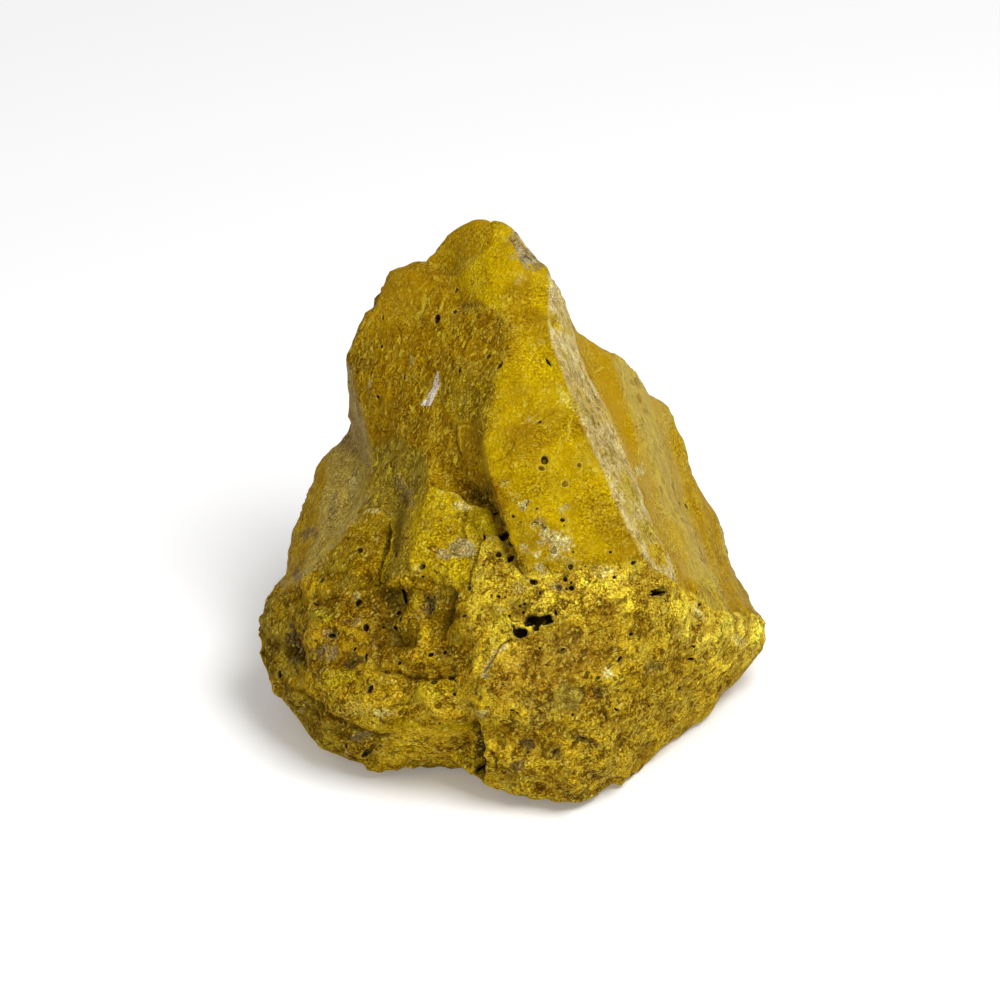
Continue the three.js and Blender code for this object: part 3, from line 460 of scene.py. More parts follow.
# Patches of another colour: across, up, width, height, slant, colour, strength.
PATCHES = [
    # chalky bloom and pale streaks on the bright facet and at its top
    (-1.3, 4.2, 1, 0.9, 0, CREAM, 0.9), (0.6, 2.6, 1.2, 0.9, 0, CREAM, 0.9),
    (1.6, 1, 1.6, 1.2, 0, CHALK, 0.6), (7.3, 0.4, 1, 0.9, 0, CHALK, 0.8),
    (3.3, -1.8, 1.4, 1.0, 0, CHALK, 0.9), (4.2, -1.2, 2, 1.3, 0, MAUVE, 0.6),
    (4.8, -3.0, 1.2, 1.4, 20, CHALK, 0.8), (4, -4.2, 1, 1.6, 30, CHALK, 0.8),
    (3.4, -5.6, 1.3, 1.4, 20, CHALK, 0.8), (6.2, -3.4, 1.6, 1.5, 0, CHALK, 0.8),
    (7.6, -4.4, 1.6, 2.4, 0, CHALK, 0.8), (6.4, -5.4, 2.2, 1.6, 0, CHALK, 0.9),
    (4.2, -8, 1.4, 2, 0, CHALK, 0.6), (5.4, -6.4, 1.2, 1, 0, CREAM, 0.6),
    (8.6, -6.8, 1.4, 1.2, 0, CREAM, 0.6), (1.8, -5, 0.9, 0.8, 0, CHALK, 0.5), (14, 5, 0.6, 3, 35, LEMON, 0.4),
    (13.5, -8.6, 2.4, 1.6, 0, CHALK, 0.35), (7.4, 16.6, 1.2, 3.2, -20, (0.6, 0.48, 0.06), 0.8),
    (2.4, 13.2, 0.6, 0.6, 0, CHALK, 0.6), (12, 6.2, 0.7, 3, -30, (0.6, 0.48, 0.06), 0.5),
    (1.2, 33.6, 2.2, 1.6, 0, (0.5, 0.35, 0.05), 0.6), (0.2, 36.8, 0.9, 0.9, 0, CHALK, 0.4),
    (3.4, 24.6, 1.3, 0.7, 0, CHALK, 0.35), (-1.6, 40, 1.2, 1.6, 0, LEMON, 0.7),
    # painted shade in the dark hollow over the middle plate, with browns and a gold fleck
    (-4.9, 2.5, 1.6, 3.6, -66, (0.085, 0.042, 0.003), 0.9),
    (-6.4, 3.0, 1.1, 2.8, -58, (0.1, 0.05, 0.003), 0.85),
    (-3.6, 3.2, 1.6, 1.8, 0, (0.1, 0.05, 0.003), 0.7),
    (-2.6, 1.2, 1.1, 2.4, -32, (0.1, 0.052, 0.003), 0.8),
    (-1.9, -1.2, 0.6, 2.6, -24, (0.1, 0.052, 0.003), 0.7),
    (-3.4, 4.4, 1.6, 1, 0, (0.26, 0.145, 0.004), 0.6), (-4.4, 2.2, 0.7, 0.5, 0, GOLD, 0.5),
    (-5.6, 4.0, 0.9, 0.5, 20, (0.26, 0.145, 0.004), 0.7),
    # above the cavity
    (1.4, -13.4, 3.4, 2, 0, UMBER, 0.5),
    # the plates, with a painted highlight along the middle plate's top rim
    (-4.8, -4.6, 0.4, 2.4, 8, UMBER, 0.6), (-6.1, -9.8, 0.7, 2, 0, UMBER, 0.6),
    (-10, -5.7, 3.6, 1.2, 8, (0.55, 0.44, 0.2), 0.9), (-7, -5, 3.8, 2.6, 0, (0.5, 0.39, 0.17), 0.9),
    (-7.1, 0.8, 1.6, 0.8, 15, CHALK, 0.7), (-7.6, 2.3, 0.5, 3.6, -59, CREAM, 0.5),
    (-10.3, -1.3, 0.6, 1.6, 0, BROWN, 0.5), (-13.4, -7.8, 1.2, 1.8, 0, CREAM, 0.7),
    (-6.8, -1.7, 0.5, 3.4, 4, UMBER, 0.8), (-5.6, -7.4, 0.9, 3.6, 12, OLIVE, 0.6),
    (-3, -3.4, 1.2, 0.8, 0, BEIGE, 0.5), (-2, -4.8, 1.4, 1, 30, OCHRE, 0.8), (-10, 3, 3, 0.5, 96, CREAM, 0.4),
    (-20, 0.3, 2.6, 0.5, 0, CHALK, 0.4), (-19.2, -3.8, 0.7, 0.6, 0, CHALK, 0.6),
    (-23, -1.6, 0.9, 5, 36, BEIGE, 0.7), (-27, -6.6, 0.9, 6, 42, BEIGE, 0.5),
    (-24.4, -4, 1.2, 5, 40, BROWN, 0.5), (-23.6, -8, 3, 2, 0, LEMON, 0.4),
    # the foot of the left face, with a patch of painted shade
    (-15.8, 3.4, 4, 1.6, 60, MAUVE, 0.6), (-13.4, 5, 1.6, 0.7, 60, DEEP_SHADE, 0.35),
    (-20.6, 2.2, 1, 2, 30, MAUVE, 0.5),
    # the left face and its top edges, with painted highlights along the edges and the cap's lower rim, and
    # painted shade in a dent
    (-8, 35.3, 0.5, 4.4, 58, EDGE_GLINT, 0.6), (-0.9, 27.6, 0.6, 3.4, -44, EDGE_GLINT, 0.6),
    (-0.3, 30.4, 0.5, 4, 38, EDGE_GLINT, 0.5), (-6.7, 29.4, 1.5, 1.8, 20, DEEP_SHADE, 0.5),
    (-9.4, 34.9, 4.4, 1.8, 0, BROWN, 0.7), (-9, 33.9, 1.2, 0.4, 0, CREAM, 0.4),
    (-14, 21.8, 0.5, 1, 0, CHALK, 0.5), (-20.3, 18.1, 0.6, 0.9, 0, CHALK, 0.5),
    (-17.2, 15.3, 0.5, 0.9, 0, CHALK, 0.4), (-16, 28.6, 5, 8, 20, GOLD, 0.25),
    (-9, 27, 2.4, 7, 12, GOLD, 0.5), (-3.4, 26.4, 4, 3, -20, (0.26, 0.135, 0.002), 0.6),
    (-13, 12.4, 5, 3, 0, BROWN, 0.35), (-9.4, 22, 2, 5, 15, BROWN, 0.3),
    (-10.6, 18.4, 0.7, 1.6, 10, LEMON, 0.5),
    # the lobe; its darkest patches are painted shade in its hollows, cleft and underside
    (-12, -13.2, 2, 3, 0, (0.13, 0.095, 0.045), 0.8), (-13.3, -14.6, 1.4, 0.7, 0, CHALK, 0.5),
    (-13.8, -12.2, 1.7, 2.4, 10, LEMON, 0.7), (-10.6, -12.6, 1.4, 2.6, 0, (0.42, 0.3, 0.02), 0.6),
    (-30, -12.8, 3, 1.6, -30, GOLD, 0.5), (-33.4, -14, 2, 2.4, 0, GOLD, 0.5),
    (-23.6, -18.8, 2.6, 2, 0, GOLD, 0.7), (-18.2, -24.8, 2.6, 1.6, 0, LEMON, 0.5),
    (-16.6, -27.6, 3.4, 1.8, 0, LEMON, 0.5), (-11.2, -21.4, 4, 1.4, 0, OCHRE, 0.7),
    (-14.6, -17.2, 4, 4.4, 0, (0.27, 0.155, 0.004), 0.6), (-8, -17.6, 2, 3, 10, LEMON, 0.5),
    (-6.4, -20.6, 2.4, 3, 0, GOLD, 0.5), (-9.4, -13.4, 1.4, 5, 15, BROWN, 0.8),
    (-31.5, -19.2, 1.8, 6, 0, (0.17, 0.115, 0.045), 0.85), (-26.6, -19.8, 3.4, 2, 0, MAUVE, 0.7),
    (-22.8, -21.4, 3.2, 2, -35, (0.12, 0.08, 0.022), 0.8), (-20, -19.2, 1.2, 4, 0, MAUVE, 0.5),
    (-27.6, -22.8, 1.6, 1.6, 0, MAUVE, 0.6), (-27, -14.4, 3.6, 2, 0, (0.42, 0.3, 0.014), 0.8),
    (-24.6, -23.2, 5.4, 2.6, -8, LEMON, 0.8), (-12, -17, 1.8, 3, 0, LEMON, 0.35),
    (-26.5, -12, 4, 2.4, 0, BROWN, 0.4), (-22.3, -11.9, 1.5, 1.1, 30, CHALK, 0.5),
    (-26.3, -17.2, 2, 1.4, 0, CHALK, 0.35), (-22.4, -15.4, 2, 0.8, 0, MAUVE, 0.6),
    (-12.4, -25.4, 9, 2, -4, LEMON, 0.7), (-22.5, -27.6, 4, 3, 0, (0.74, 0.5, 0.06), 0.5),
    (-18, -28.4, 3, 1.6, 0, CHALK, 0.35), (-31.5, -25, 3.4, 2, -30, BROWN, 0.5),
    (-27, -28.6, 5, 1.4, 36, BROWN, 0.5), (-21.4, -32.1, 2.6, 1, 0, MAUVE, 0.8),
    (-19.6, -32, 3, 0.6, 14, DEEP_SHADE, 0.6), (-23.7, -34.2, 0.9, 0.9, 0, CHALK, 0.8),
    (-24.4, -33.9, 1.6, 1.2, 0, GOLD, 0.6), (-15.4, -31, 1.4, 1.6, 0, GOLD, 0.8),
    (-33, -21.3, 3, 1, 0, GOLD, 0.5), (-30.9, -28.7, 2.4, 0.7, -40, CHALK, 0.2),
    (-7.4, -32.6, 3, 2, 0, BROWN, 0.4),
    # the brow
    (-1.7, -13.5, 1.2, 1, 0, CHALK, 0.9), (-2, -14.9, 2.4, 1.6, 0, (0.6, 0.44, 0.02), 0.6),
    (1, -10.6, 2.6, 1.4, 0, BEIGE, 0.5), (6.7, -10.5, 1.7, 1.4, 0, MAUVE, 0.8),
    (6.3, -12, 1.3, 1.2, 0, (0.6, 0.4, 0.01), 0.9), (12, -8, 2.6, 1.4, 0, MAUVE, 0.45),
    (26.8, -13.8, 1.2, 1.8, -20, CHALK, 0.7), (18.2, -15, 2.2, 4, 0, BROWN, 0.6),
    (32.6, -18.6, 1.8, 1.8, 0, CHALK, 0.5), (17.6, -8.2, 3, 2.4, 0, (0.6, 0.44, 0.03), 0.6),
    (27.4, -16.6, 3, 1.6, 0, (0.45, 0.24, 0.01), 0.7), (3, -11.4, 2, 1, 0, LEMON, 0.6),
    # the foot; its darkest patches are painted shade in its dents
    (13.9, -22.9, 1.1, 0.9, 0, CHALK, 0.8), (1.1, -21.6, 1.2, 1, 0, CHALK, 0.5),
    (-4, -28.4, 1.6, 1.2, 0, CHALK, 0.5), (17.4, -24.6, 7, 3.2, 0, GOLD, 0.8),
    (7.4, -26.5, 7, 4, 0, (0.3, 0.22, 0.035), 0.6), (9, -29.6, 5, 1.6, 0, GOLD, 0.6),
    (20.4, -22, 3.6, 2, 0, (0.36, 0.275, 0.05), 0.6), (2, -33.3, 2.2, 1.9, 0, (0.14, 0.085, 0.03), 0.8),
    (0.6, -36.1, 2.6, 1.5, -20, (0.17, 0.105, 0.04), 0.8),
    (6.5, -34.3, 1.9, 1.7, 0, (0.14, 0.085, 0.03), 0.8),
    (10.4, -32.4, 2.8, 0.9, 15, (0.14, 0.09, 0.035), 0.7),
    (12.4, -37.8, 2, 0.9, 0, (0.16, 0.105, 0.045), 0.8),
    (12.7, -25.7, 2.2, 1.9, 0, (0.15, 0.11, 0.04), 0.7), (4, -29.4, 3, 1.8, 0, (0.17, 0.12, 0.04), 0.6),
    (3.6, -27.4, 4, 2, 0, (0.2, 0.15, 0.045), 0.5), (7, -24.9, 3, 0.8, 0, MAUVE, 0.5),
    (9, -41, 6, 2, 0, STRAW, 0.5), (30.5, -19.5, 5, 3, 0, GOLD, 0.5), (24, -31, 8, 1.6, 42, STRAW, 0.4),
    (-1.6, -31, 3.4, 2.4, 0, GOLD, 0.5),
    # the white filling of the crack under the cavity
    (-1.8, -19.8, 0.25, 1.0, 42, INFILL, 0.6), (-2.7, -20.8, 0.3, 1.2, 32, INFILL, 0.8),
    (-3.6, -22.2, 0.25, 1.2, 28, INFILL, 0.6),
    # yellow streaks in the right flank's pale bed
    (19.9, 4.2, 0.3, 2.2, -26, BED_YELLOW, 0.8), (20.9, 0.4, 0.3, 2, -26, BED_YELLOW, 0.8),
    (22.7, -2.9, 0.35, 2.2, -26, BED_YELLOW, 0.8), (23.6, 0.9, 0.25, 1.8, -24, BED_YELLOW, 0.6),
    (24.4, -6.2, 0.4, 2.2, -28, BED_YELLOW, 0.8), (25.7, -5, 0.25, 1.8, -26, BED_YELLOW, 0.6),
    (22, 5.6, 0.25, 1.9, -24, BED_YELLOW, 0.5), (26.9, -8, 0.3, 1.6, -28, BED_YELLOW, 0.7),
    # under the cavity
    (2.4, -18.2, 3, 2.4, 0, (0.36, 0.19, 0.008), 0.5),
    # the slot, with painted shade deep in it
    (-4.7, -33.6, 1.4, 5.6, -10, (0.06, 0.035, 0.006), 0.9), (-6.4, -33, 2, 4, 0, BROWN, 0.6),
    (-10.4, -33.4, 4, 0.9, 12, BROWN, 0.3), (-13.4, -35.4, 4, 0.8, 10, BROWN, 0.3),
    (-8.6, -35.6, 3, 1, 6, LEMON, 0.4),
    # the flanks
    (16.6, 3.4, 2.4, 6, -28, (0.45, 0.32, 0.04), 0.6), (19.4, -3, 2.4, 5, -28, (0.45, 0.31, 0.03), 0.6),
    (1.5, 37.6, 2.2, 5.6, -25, (0.4, 0.31, 0.16), 0.95), (3.6, 35.2, 3, 1, -30, (0.2, 0.14, 0.05), 0.8),
    (23, -3, 3, 5, -28, (0.44, 0.27, 0.008), 0.7), (20.6, -5.6, 2.4, 4, -28, GOLD, 0.7),
    (17.6, 2.6, 0.9, 3, -28, CHALK, 0.5), (28, -9.4, 3, 4, -30, STRAW, 0.6),
    (14.2, 8.4, 1.2, 4, -28, (0.4, 0.29, 0.09), 0.5), (11.3, 13.4, 1, 3.4, -28, (0.38, 0.28, 0.08), 0.5),
    (17, 0.4, 1.4, 3.4, -28, (0.38, 0.28, 0.06), 0.5), (-25.5, 1, 1.4, 6, 12, (0.3, 0.21, 0.06), 0.6),
    (-22.8, 4.6, 1.2, 4, 8, (0.45, 0.34, 0.1), 0.6), (-24.6, -3.6, 1.4, 5, 38, (0.47, 0.345, 0.11), 0.8),
    (-29.4, -2.8, 1.2, 2, 20, (0.13, 0.085, 0.045), 0.85),
    (-28.4, -2.6, 1, 1.4, 0, (0.13, 0.085, 0.045), 0.7),
    (-30.8, -8.6, 1.6, 1.6, 0, (0.15, 0.095, 0.055), 0.8), (6.1, 27.1, 1.3, 3, -28, MUSTARD, 0.95),
    (18.4, 6.2, 1.4, 1.2, 0, CHALK, 0.6), (9.4, 15.2, 1, 2.6, -28, (0.38, 0.27, 0.06), 0.5),
]

# Small brown flecks down the right flank, in a few sizes by turns: across, up.
FLANK_FLECKS = [
    (18.2, 16.5), (19.1, 14.7), (18.6, 12.8), (20.7, 9.1), (21.6, 10.4), (22.4, 7.4), (20.1, 7), (21.6, 5.4),
    (22.9, 3.8), (24.2, -0.7), (25.3, -1.9), (26.2, -3.4), (27.5, -6.7), (17.6, 18.6), (23.4, 1.1),
    (21.5, 2.7),
]
for number, (across, up) in enumerate(FLANK_FLECKS):
    width, strength = ((0.5, 0.7), (0.35, 0.5), (0.35, 0.6))[number % 3]
    height = (1.3, 0.9, 1.8, 1.1)[number % 4]
    PATCHES.append((across, up, width, height, -26, BROWN, strength))

# A pale chip sits in the left face.
CHIP = [(-10.6, 20.3), (-11.6, 17.9), (-13.1, 15.5), (-11.6, 15.3), (-11.1, 16.8), (-10.5, 18.2)]

# Where the mesh is finest, so that the edges of the plates in the middle stay crisp.
FINE_AREA = [(-14, 4.5), (-4, 6), (-0.5, 2), (2.5, -9), (-2, -10), (-8, -11), (-14, -8)]

HIDDEN_PIT_COUNT = 70
HIDDEN_PIT_WIDTHS = (0.6, 2.0)
HIDDEN_PIT_SEED = 11


# ---- Noise ----


def scrambled(cells, seed):
    """A repeatable random 32-bit number for each integer cell."""
    c = cells.astype(np.uint32)
    h = c[:, 0] * np.uint32(374761393) + c[:, 1] * np.uint32(668265263) + c[:, 2] * np.uint32(2246822519)
    h = (h + np.uint32(seed * 7919 + 1)) * np.uint32(3266489917)
    h = (h ^ (h >> np.uint32(15))) * np.uint32(2246822519)
    h = (h ^ (h >> np.uint32(13))) * np.uint32(3266489917)
    return h ^ (h >> np.uint32(16))


def random_vectors(cells, seed):
    """A repeatable random vector for each cell, each component from -1 to 1."""
    h = scrambled(cells, seed)
    parts = [(h >> np.uint32(shift)) & np.uint32(1023) for shift in (0, 10, 20)]
    return np.stack(parts, axis=1) / 511.5 - 1.0


def noise(points, wavelength, seed=0):
    """Smooth gradient noise, about -1 to 1."""
    q = points / wavelength + 50.0
    base = np.floor(q).astype(np.int64)
    f = q - base
    fade = f * f * f * (f * (f * 6 - 15) + 10)
    total = np.zeros(len(points))
    for corner in np.ndindex(2, 2, 2):
        corner = np.array(corner)
        slope = random_vectors(base + corner, seed)
        weight = np.prod(np.where(corner, fade, 1 - fade), axis=1)
        total += weight * ((f - corner) * slope).sum(axis=1)
    return total * 1.6


def fractal(points, wavelength, octaves, seed=0):
    total = 0.0
    for octave in range(octaves):
        total = total + 0.5**octave * noise(points, wavelength / 2**octave, seed + octave)
    return total


def scoops(points, size, seed=0):
    """A surface of shallow scoops that meet in sharp ridges, about -1 to 1, as where stone has chipped."""
    q = points / size + 50.0
    base = np.floor(q).astype(np.int64)
    height = np.full(len(q), 9.0)
    for offset in np.ndindex(3, 3, 3):
        cell = base + np.array(offset) - 1
        random = random_vectors(cell, seed)
        away = q - (cell + 0.5 + 0.45 * random)
        depth = random_vectors(cell, seed + 1)[:, 0]
        height = np.minimum(height, (away**2).sum(axis=1) + 0.35 * depth)
    return 2.2 * height - 0.6


def pebbles(points, size, seed=0):
    """The same turned inside out: rounded grains with sharp creases between them."""
    return -scoops(points, size, seed)


def smoothstep(low, high, value):
    t = np.clip((value - low) / (high - low), 0.0, 1.0)
    return t * t * (3 - 2 * t)


# ---- Views of a point ----


def to_face(points):
    """Across, up and out, in the front face's frame."""
    return (points - FACE_ORIGIN) @ np.stack([ACROSS, UP, OUT], axis=1)


def as_seen(points):
    """Across and up as seen from the front: the sight line's place on the plane through the aim."""
    place = to_face(points)
    shrink = FRONT_DISTANCE / (FRONT_DISTANCE - (place[:, 2:] - FRONT_AIM[2]))
    return (place[:, :2] - FRONT_AIM[:2]) * shrink + FRONT_AIM[:2]


def squeezed(points, along, share):
    """Places squeezed along a direction, so that noise read there is drawn out that way."""
    return points - (1 - share) * (points @ along)[:, None] * along


def bedded(points):
    """Places squeezed within the beds, so that noise read there changes from bed to bed."""
    depth = (points @ BED_NORMAL)[:, None] * BED_NORMAL
    return depth + 0.13 * (points - depth)


# ---- Places near marks ----


def boxed(places, corners, reach):
    """Numbers of the places inside the corners' box, widened by the reach."""
    corners = np.atleast_2d(np.array(corners, dtype=float))
    low, high = corners.min(axis=0) - reach, corners.max(axis=0) + reach
    inside = (places[:, 0] > low[0]) & (places[:, 0] < high[0])
    for axis in range(1, places.shape[1]):
        inside &= (places[:, axis] > low[axis]) & (places[:, axis] < high[axis])
    return np.flatnonzero(inside)


def along_line(places, line):
    """For each 2-D place: its distance to a line, its side (1 left) and how far along the line it is."""
    line = np.array(line, dtype=float)
    lengths = np.linalg.norm(np.diff(line, axis=0), axis=1)
    starts = np.concatenate([[0], np.cumsum(lengths)])
    best = np.full(len(places), np.inf)
    side, travelled = np.zeros(len(places)), np.zeros(len(places))
    for start, end, length, before in zip(line[:-1], line[1:], lengths, starts):
        along = (end - start) / length
        offset = places - start
        t = np.clip(offset @ along, 0, length)
        gap = offset - t[:, None] * along
        distance = np.hypot(gap[:, 0], gap[:, 1])
        closer = distance < best
        best = np.where(closer, distance, best)
        side = np.where(closer, np.sign(along[0] * offset[:, 1] - along[1] * offset[:, 0]), side)
        travelled = np.where(closer, (before + t) / starts[-1], travelled)
    return best, side, travelled


def within(places, outline, soft):
    """1 inside a closed outline, 0 outside, blended over the soft width."""
    corners = np.array(outline, dtype=float)
    share = np.zeros(len(places))
    at = boxed(places, corners, soft)
    near = places[at]
    inside = np.zeros(len(near), dtype=bool)
    for (x0, y0), (x1, y1) in zip(corners, np.roll(corners, -1, axis=0)):
        if y0 != y1:
            crosses = (near[:, 1] > y0) != (near[:, 1] > y1)
            inside ^= crosses & (near[:, 0] < x0 + (near[:, 1] - y0) * (x1 - x0) / (y1 - y0))
    distance, _, _ = along_line(near, np.vstack([corners, corners[:1]]))
    share[at] = smoothstep(-soft, soft, np.where(inside, distance, -distance))
    return share


def oval(places, across, up, width, height, slant):
    """Distance from an oval's centre, 1 on its rim."""
    turn = math.radians(slant)
    right = (places[:, 0] - across) * math.cos(turn) - (places[:, 1] - up) * math.sin(turn)
    ahead = (places[:, 0] - across) * math.sin(turn) + (places[:, 1] - up) * math.cos(turn)
    return np.hypot(right / (width / 2), ahead / (height / 2))


# ---- Mesh tools, on plain arrays of points and triangles ----


def welded(mesh):
    """The solid's points in millimetres, each once, and its triangles."""
    mesh.calc_loop_triangles()
    points = np.empty(len(mesh.vertices) * 3)
    mesh.vertices.foreach_get("co", points)
    points = points.reshape(-1, 3) / MM
    triangles = np.empty(len(mesh.loop_triangles) * 3, dtype=np.int64)
    mesh.loop_triangles.foreach_get("vertices", triangles)
    _, first, index = np.unique(np.round(points, 3), axis=0, return_index=True, return_inverse=True)
    return points[first], index.reshape(-1)[triangles].reshape(-1, 3)


def edges_of(triangles):
    """Each edge once, and the three edge numbers of each triangle."""
    pairs = np.sort(np.stack([triangles, np.roll(triangles, -1, axis=1)], axis=2).reshape(-1, 2), axis=1)
    count = triangles.max() + 1
    keys, index = np.unique(pairs[:, 0] * count + pairs[:, 1], return_inverse=True)
    return np.stack([keys // count, keys % count], axis=1), index.reshape(-1, 3)


def longest_first(points, triangles):
    """The same triangles, each turned so that its longest edge comes first, and that edge's length."""
    sides = points[np.roll(triangles, -1, axis=1)] - points[triangles]
    lengths = np.sqrt((sides**2).sum(axis=2))
    longest = lengths.argmax(axis=1)
    turned = (np.arange(3)[None, :] + longest[:, None]) % 3
    return np.take_along_axis(triangles, turned, axis=1), lengths.max(axis=1)


def halved(points, triangles, limit):
    """One round of splitting: every triangle with an edge over the limit is cut across its longest edge."""
    triangles, lengths = longest_first(points, triangles)
    edges, sides = edges_of(triangles)
    middles = points[triangles[:, 0]] * 0.5 + points[triangles[:, 1]] * 0.5
    cut = np.zeros(len(edges), dtype=bool)
    cut[sides[lengths > limit(middles, face_normals(points, triangles)), 0]] = True
    while True:
        owed = (cut[sides[:, 1]] | cut[sides[:, 2]]) & ~cut[sides[:, 0]]
        if not owed.any():
            break
        cut[sides[owed, 0]] = True
    new = np.full(len(edges), -1)
    new[cut] = len(points) + np.arange(cut.sum())
    points = np.vstack([points, points[edges[cut]].mean(axis=1)])
    a, b, c = triangles.T
    ab, bc, ca = new[sides].T
    whole, right, left = ab < 0, bc >= 0, ca >= 0
    parts = [
        triangles[whole],
        np.stack([a, ab, c], axis=1)[~whole & ~left],
        np.stack([a, ab, ca], axis=1)[~whole & left],
        np.stack([ca, ab, c], axis=1)[~whole & left],
        np.stack([ab, b, c], axis=1)[~whole & ~right],
        np.stack([ab, b, bc], axis=1)[~whole & right],
        np.stack([ab, bc, c], axis=1)[~whole & right],
    ]
    return points, np.vstack(parts), bool(cut.any())


def refined(points, triangles, limit):
    """Splits the mesh until no edge is longer than the limit at its middle."""
    more = True
    while more:
        points, triangles, more = halved(points, triangles, limit)
    return points, triangles


def face_normals(points, triangles):
    a, b, c = points[triangles[:, 0]], points[triangles[:, 1]], points[triangles[:, 2]]
    normals = np.cross(b - a, c - a)
    return normals / (np.linalg.norm(normals, axis=1, keepdims=True) + 1e-12)


def gathered(count, numbers, values):
    """Sums of the values that share a number."""
    return np.stack([np.bincount(numbers, weights=column, minlength=count) for column in values.T], axis=1)


def point_normals(points, triangles):
    faces = face_normals(points, triangles)
    normals = sum(gathered(len(points), triangles[:, corner], faces) for corner in range(3))
    return normals / np.linalg.norm(normals, axis=1, keepdims=True)


def crisp_edges(points, triangles):
    """The mesh's edges, and which of them are bent sharply enough to stay crisp."""
    edges, sides = edges_of(triangles)
    faces = face_normals(points, triangles)
    order = np.argsort(sides.reshape(-1), kind="stable")
    owners = (order // 3).reshape(-1, 2)
    bend = (faces[owners[:, 0]] * faces[owners[:, 1]]).sum(axis=1)
    return edges, bend < math.cos(CRISP_ANGLE)


def smoothed(points, triangles, passes):
    """Draws points towards their neighbours; those on a crisp ridge only along it, and none on the base."""
    edges, crisp = crisp_edges(points, triangles)
    on_ridge = np.zeros(len(points), dtype=bool)
    on_ridge[edges[crisp]] = True
    links = []
    for here, there in ((0, 1), (1, 0)):
        wanted = crisp | ~on_ridge[edges[:, here]]
        links.append((edges[wanted, here], edges[wanted, there]))
    here = np.concatenate([link[0] for link in links])
    there = np.concatenate([link[1] for link in links])
    count = np.bincount(here, minlength=len(points))
    share = np.where((points[:, 2] < ON_GROUND) | (count < 2), 0.0, 0.5)[:, None]
    for _ in range(passes):
        mean = gathered(len(points), here, points[there]) / np.maximum(count, 1)[:, None]
        points = points + share * (mean - points)
    return points


# ---- Where things are on the stone ----


def facing_front(normals):
    return smoothstep(0.0, 0.2, normals @ OUT)


def ragged_front(points, normals):
    """Like facing_front, but with a ragged border to the hidden sides."""
    facing = normals @ OUT
    return smoothstep(0.0, 0.2, facing + 0.25 * noise(points, 5, 37)) * smoothstep(-0.08, 0.02, facing)


def hidden_pits(points, normals):
    """Pits scattered over the hidden sides: each one's centre, width and the direction it is drawn out in."""
    pick = np.random.default_rng(HIDDEN_PIT_SEED)
    candidates = np.flatnonzero((normals @ OUT < 0.0) & (points[:, 2] > 3))
    centres = points[pick.choice(candidates, HIDDEN_PIT_COUNT, replace=False)]
    smallest, largest = HIDDEN_PIT_WIDTHS
    widths = smallest + (largest - smallest) * pick.random(HIDDEN_PIT_COUNT) ** 2
    stretch = pick.normal(size=(HIDDEN_PIT_COUNT, 3))
    return list(zip(centres, widths, stretch / np.linalg.norm(stretch, axis=1, keepdims=True)))


def in_pit(points, centre, width, stretch):
    """Distance from a scattered pit's centre, 1 on its rim."""
    offset = points - centre
    return np.sqrt((offset**2).sum(axis=1) - 0.65 * (offset @ stretch) ** 2) / (width / 2)


def shorten(longest, at, limit):
    longest[at] = np.minimum(longest[at], limit)


def edge_limit(scattered):
    """How long an edge may be at each place: short where the front is rough, shorter still round marks."""
    crumbly = [outline for outline, _, _, chunky, grainy in ZONES.values() if chunky + grainy > CRUMBLY]

    def limit(middles, directions):
        front = np.flatnonzero(directions @ OUT > -0.05)
        seen = as_seen(middles[front])
        shown = np.full(len(front), SMOOTH_EDGE)
        for outline in crumbly:
            shorten(shown, within(seen, outline, 0.5) > 0, ROUGH_EDGE)
        shorten(shown, within(seen, ZONES["right_flank"][OUTLINE], 0.5) > 0, FLANK_EDGE)
        shorten(shown, within(seen, FINE_AREA, 0.1) > 0, FINE_EDGE)
        for line, width in [(line, width) for line, width, _ in GROOVES] + [(RIDGE, 0.8)]:
            at = boxed(seen, line, width)
            near = along_line(seen[at], line)[0] < 0.6 * width + 0.1
            shorten(shown, at[near], np.clip(0.6 * width, 0.28, 0.4))
        for line, _, _ in STEPS:
            at = boxed(seen, line, 1)
            shorten(shown, at[along_line(seen[at], line)[0] < 0.25], 0.35)
        for across, up, width, height, slant in PITS + SHALLOW_PITS + CAVITIES:
            at = boxed(seen, (across, up), max(width, height))
            near = oval(seen[at], across, up, width, height, slant) < 1.25
            shorten(shown, at[near], np.clip(0.3 * min(width, height), 0.16, 0.34))
        shorten(shown, within(seen, CHIP, 0.3) > 0, 0.25)
        longest = np.full(len(middles), HIDDEN_EDGE)
        longest[front] = shown
        for centre, width, stretch in scattered:
            at = boxed(middles, centre, width)
            near = in_pit(middles[at], centre, width, stretch) < 1.4
            shorten(longest, at[near], np.clip(0.32 * width, 0.28, 0.5))
        return longest

    return limit


def zone_shares(points, normals, blur=0.0):
    """How much each front zone covers each point, with its outline blurred by this much more."""
    stray = np.stack([noise(points, 4, 31) + 0.5 * noise(points, 1.5, 33), noise(points, 4, 32)], axis=1)
    seen = as_seen(points)
    front = ragged_front(points, normals)
    return {
        name: front * within(seen + min(soft + blur, 0.8) * stray, outline, soft + blur)
        for name, (outline, soft, _, _, _) in ZONES.items()
    }


def blended(start, shares, field):
    """A value at each point, taken over by each zone in turn where that zone covers it."""
    value = np.array(start, dtype=float)
    for name, zone in ZONES.items():
        share = shares[name] if value.ndim == 1 else shares[name][:, None]
        value = value + share * (np.array(zone[field]) - value)
    return value


def bed_show(points, normals, shares):
    """How much of the bed colours shows: on the flanks, and on the hidden sides wherever beds are cut."""
    show = (1 - ragged_front(points, normals)) * (1 - smoothstep(0.62, 0.82, np.abs(normals @ BED_NORMAL)))
    show *= 0.95 - 0.75 * smoothstep(0.0, 0.4, noise(points, 11, 35) + 0.35 * noise(points, 3, 36))
    for name, share in shares.items():
        show = show + share * (BEDDED.get(name, 0.0) - show)
    return show


# ---- Carving ----


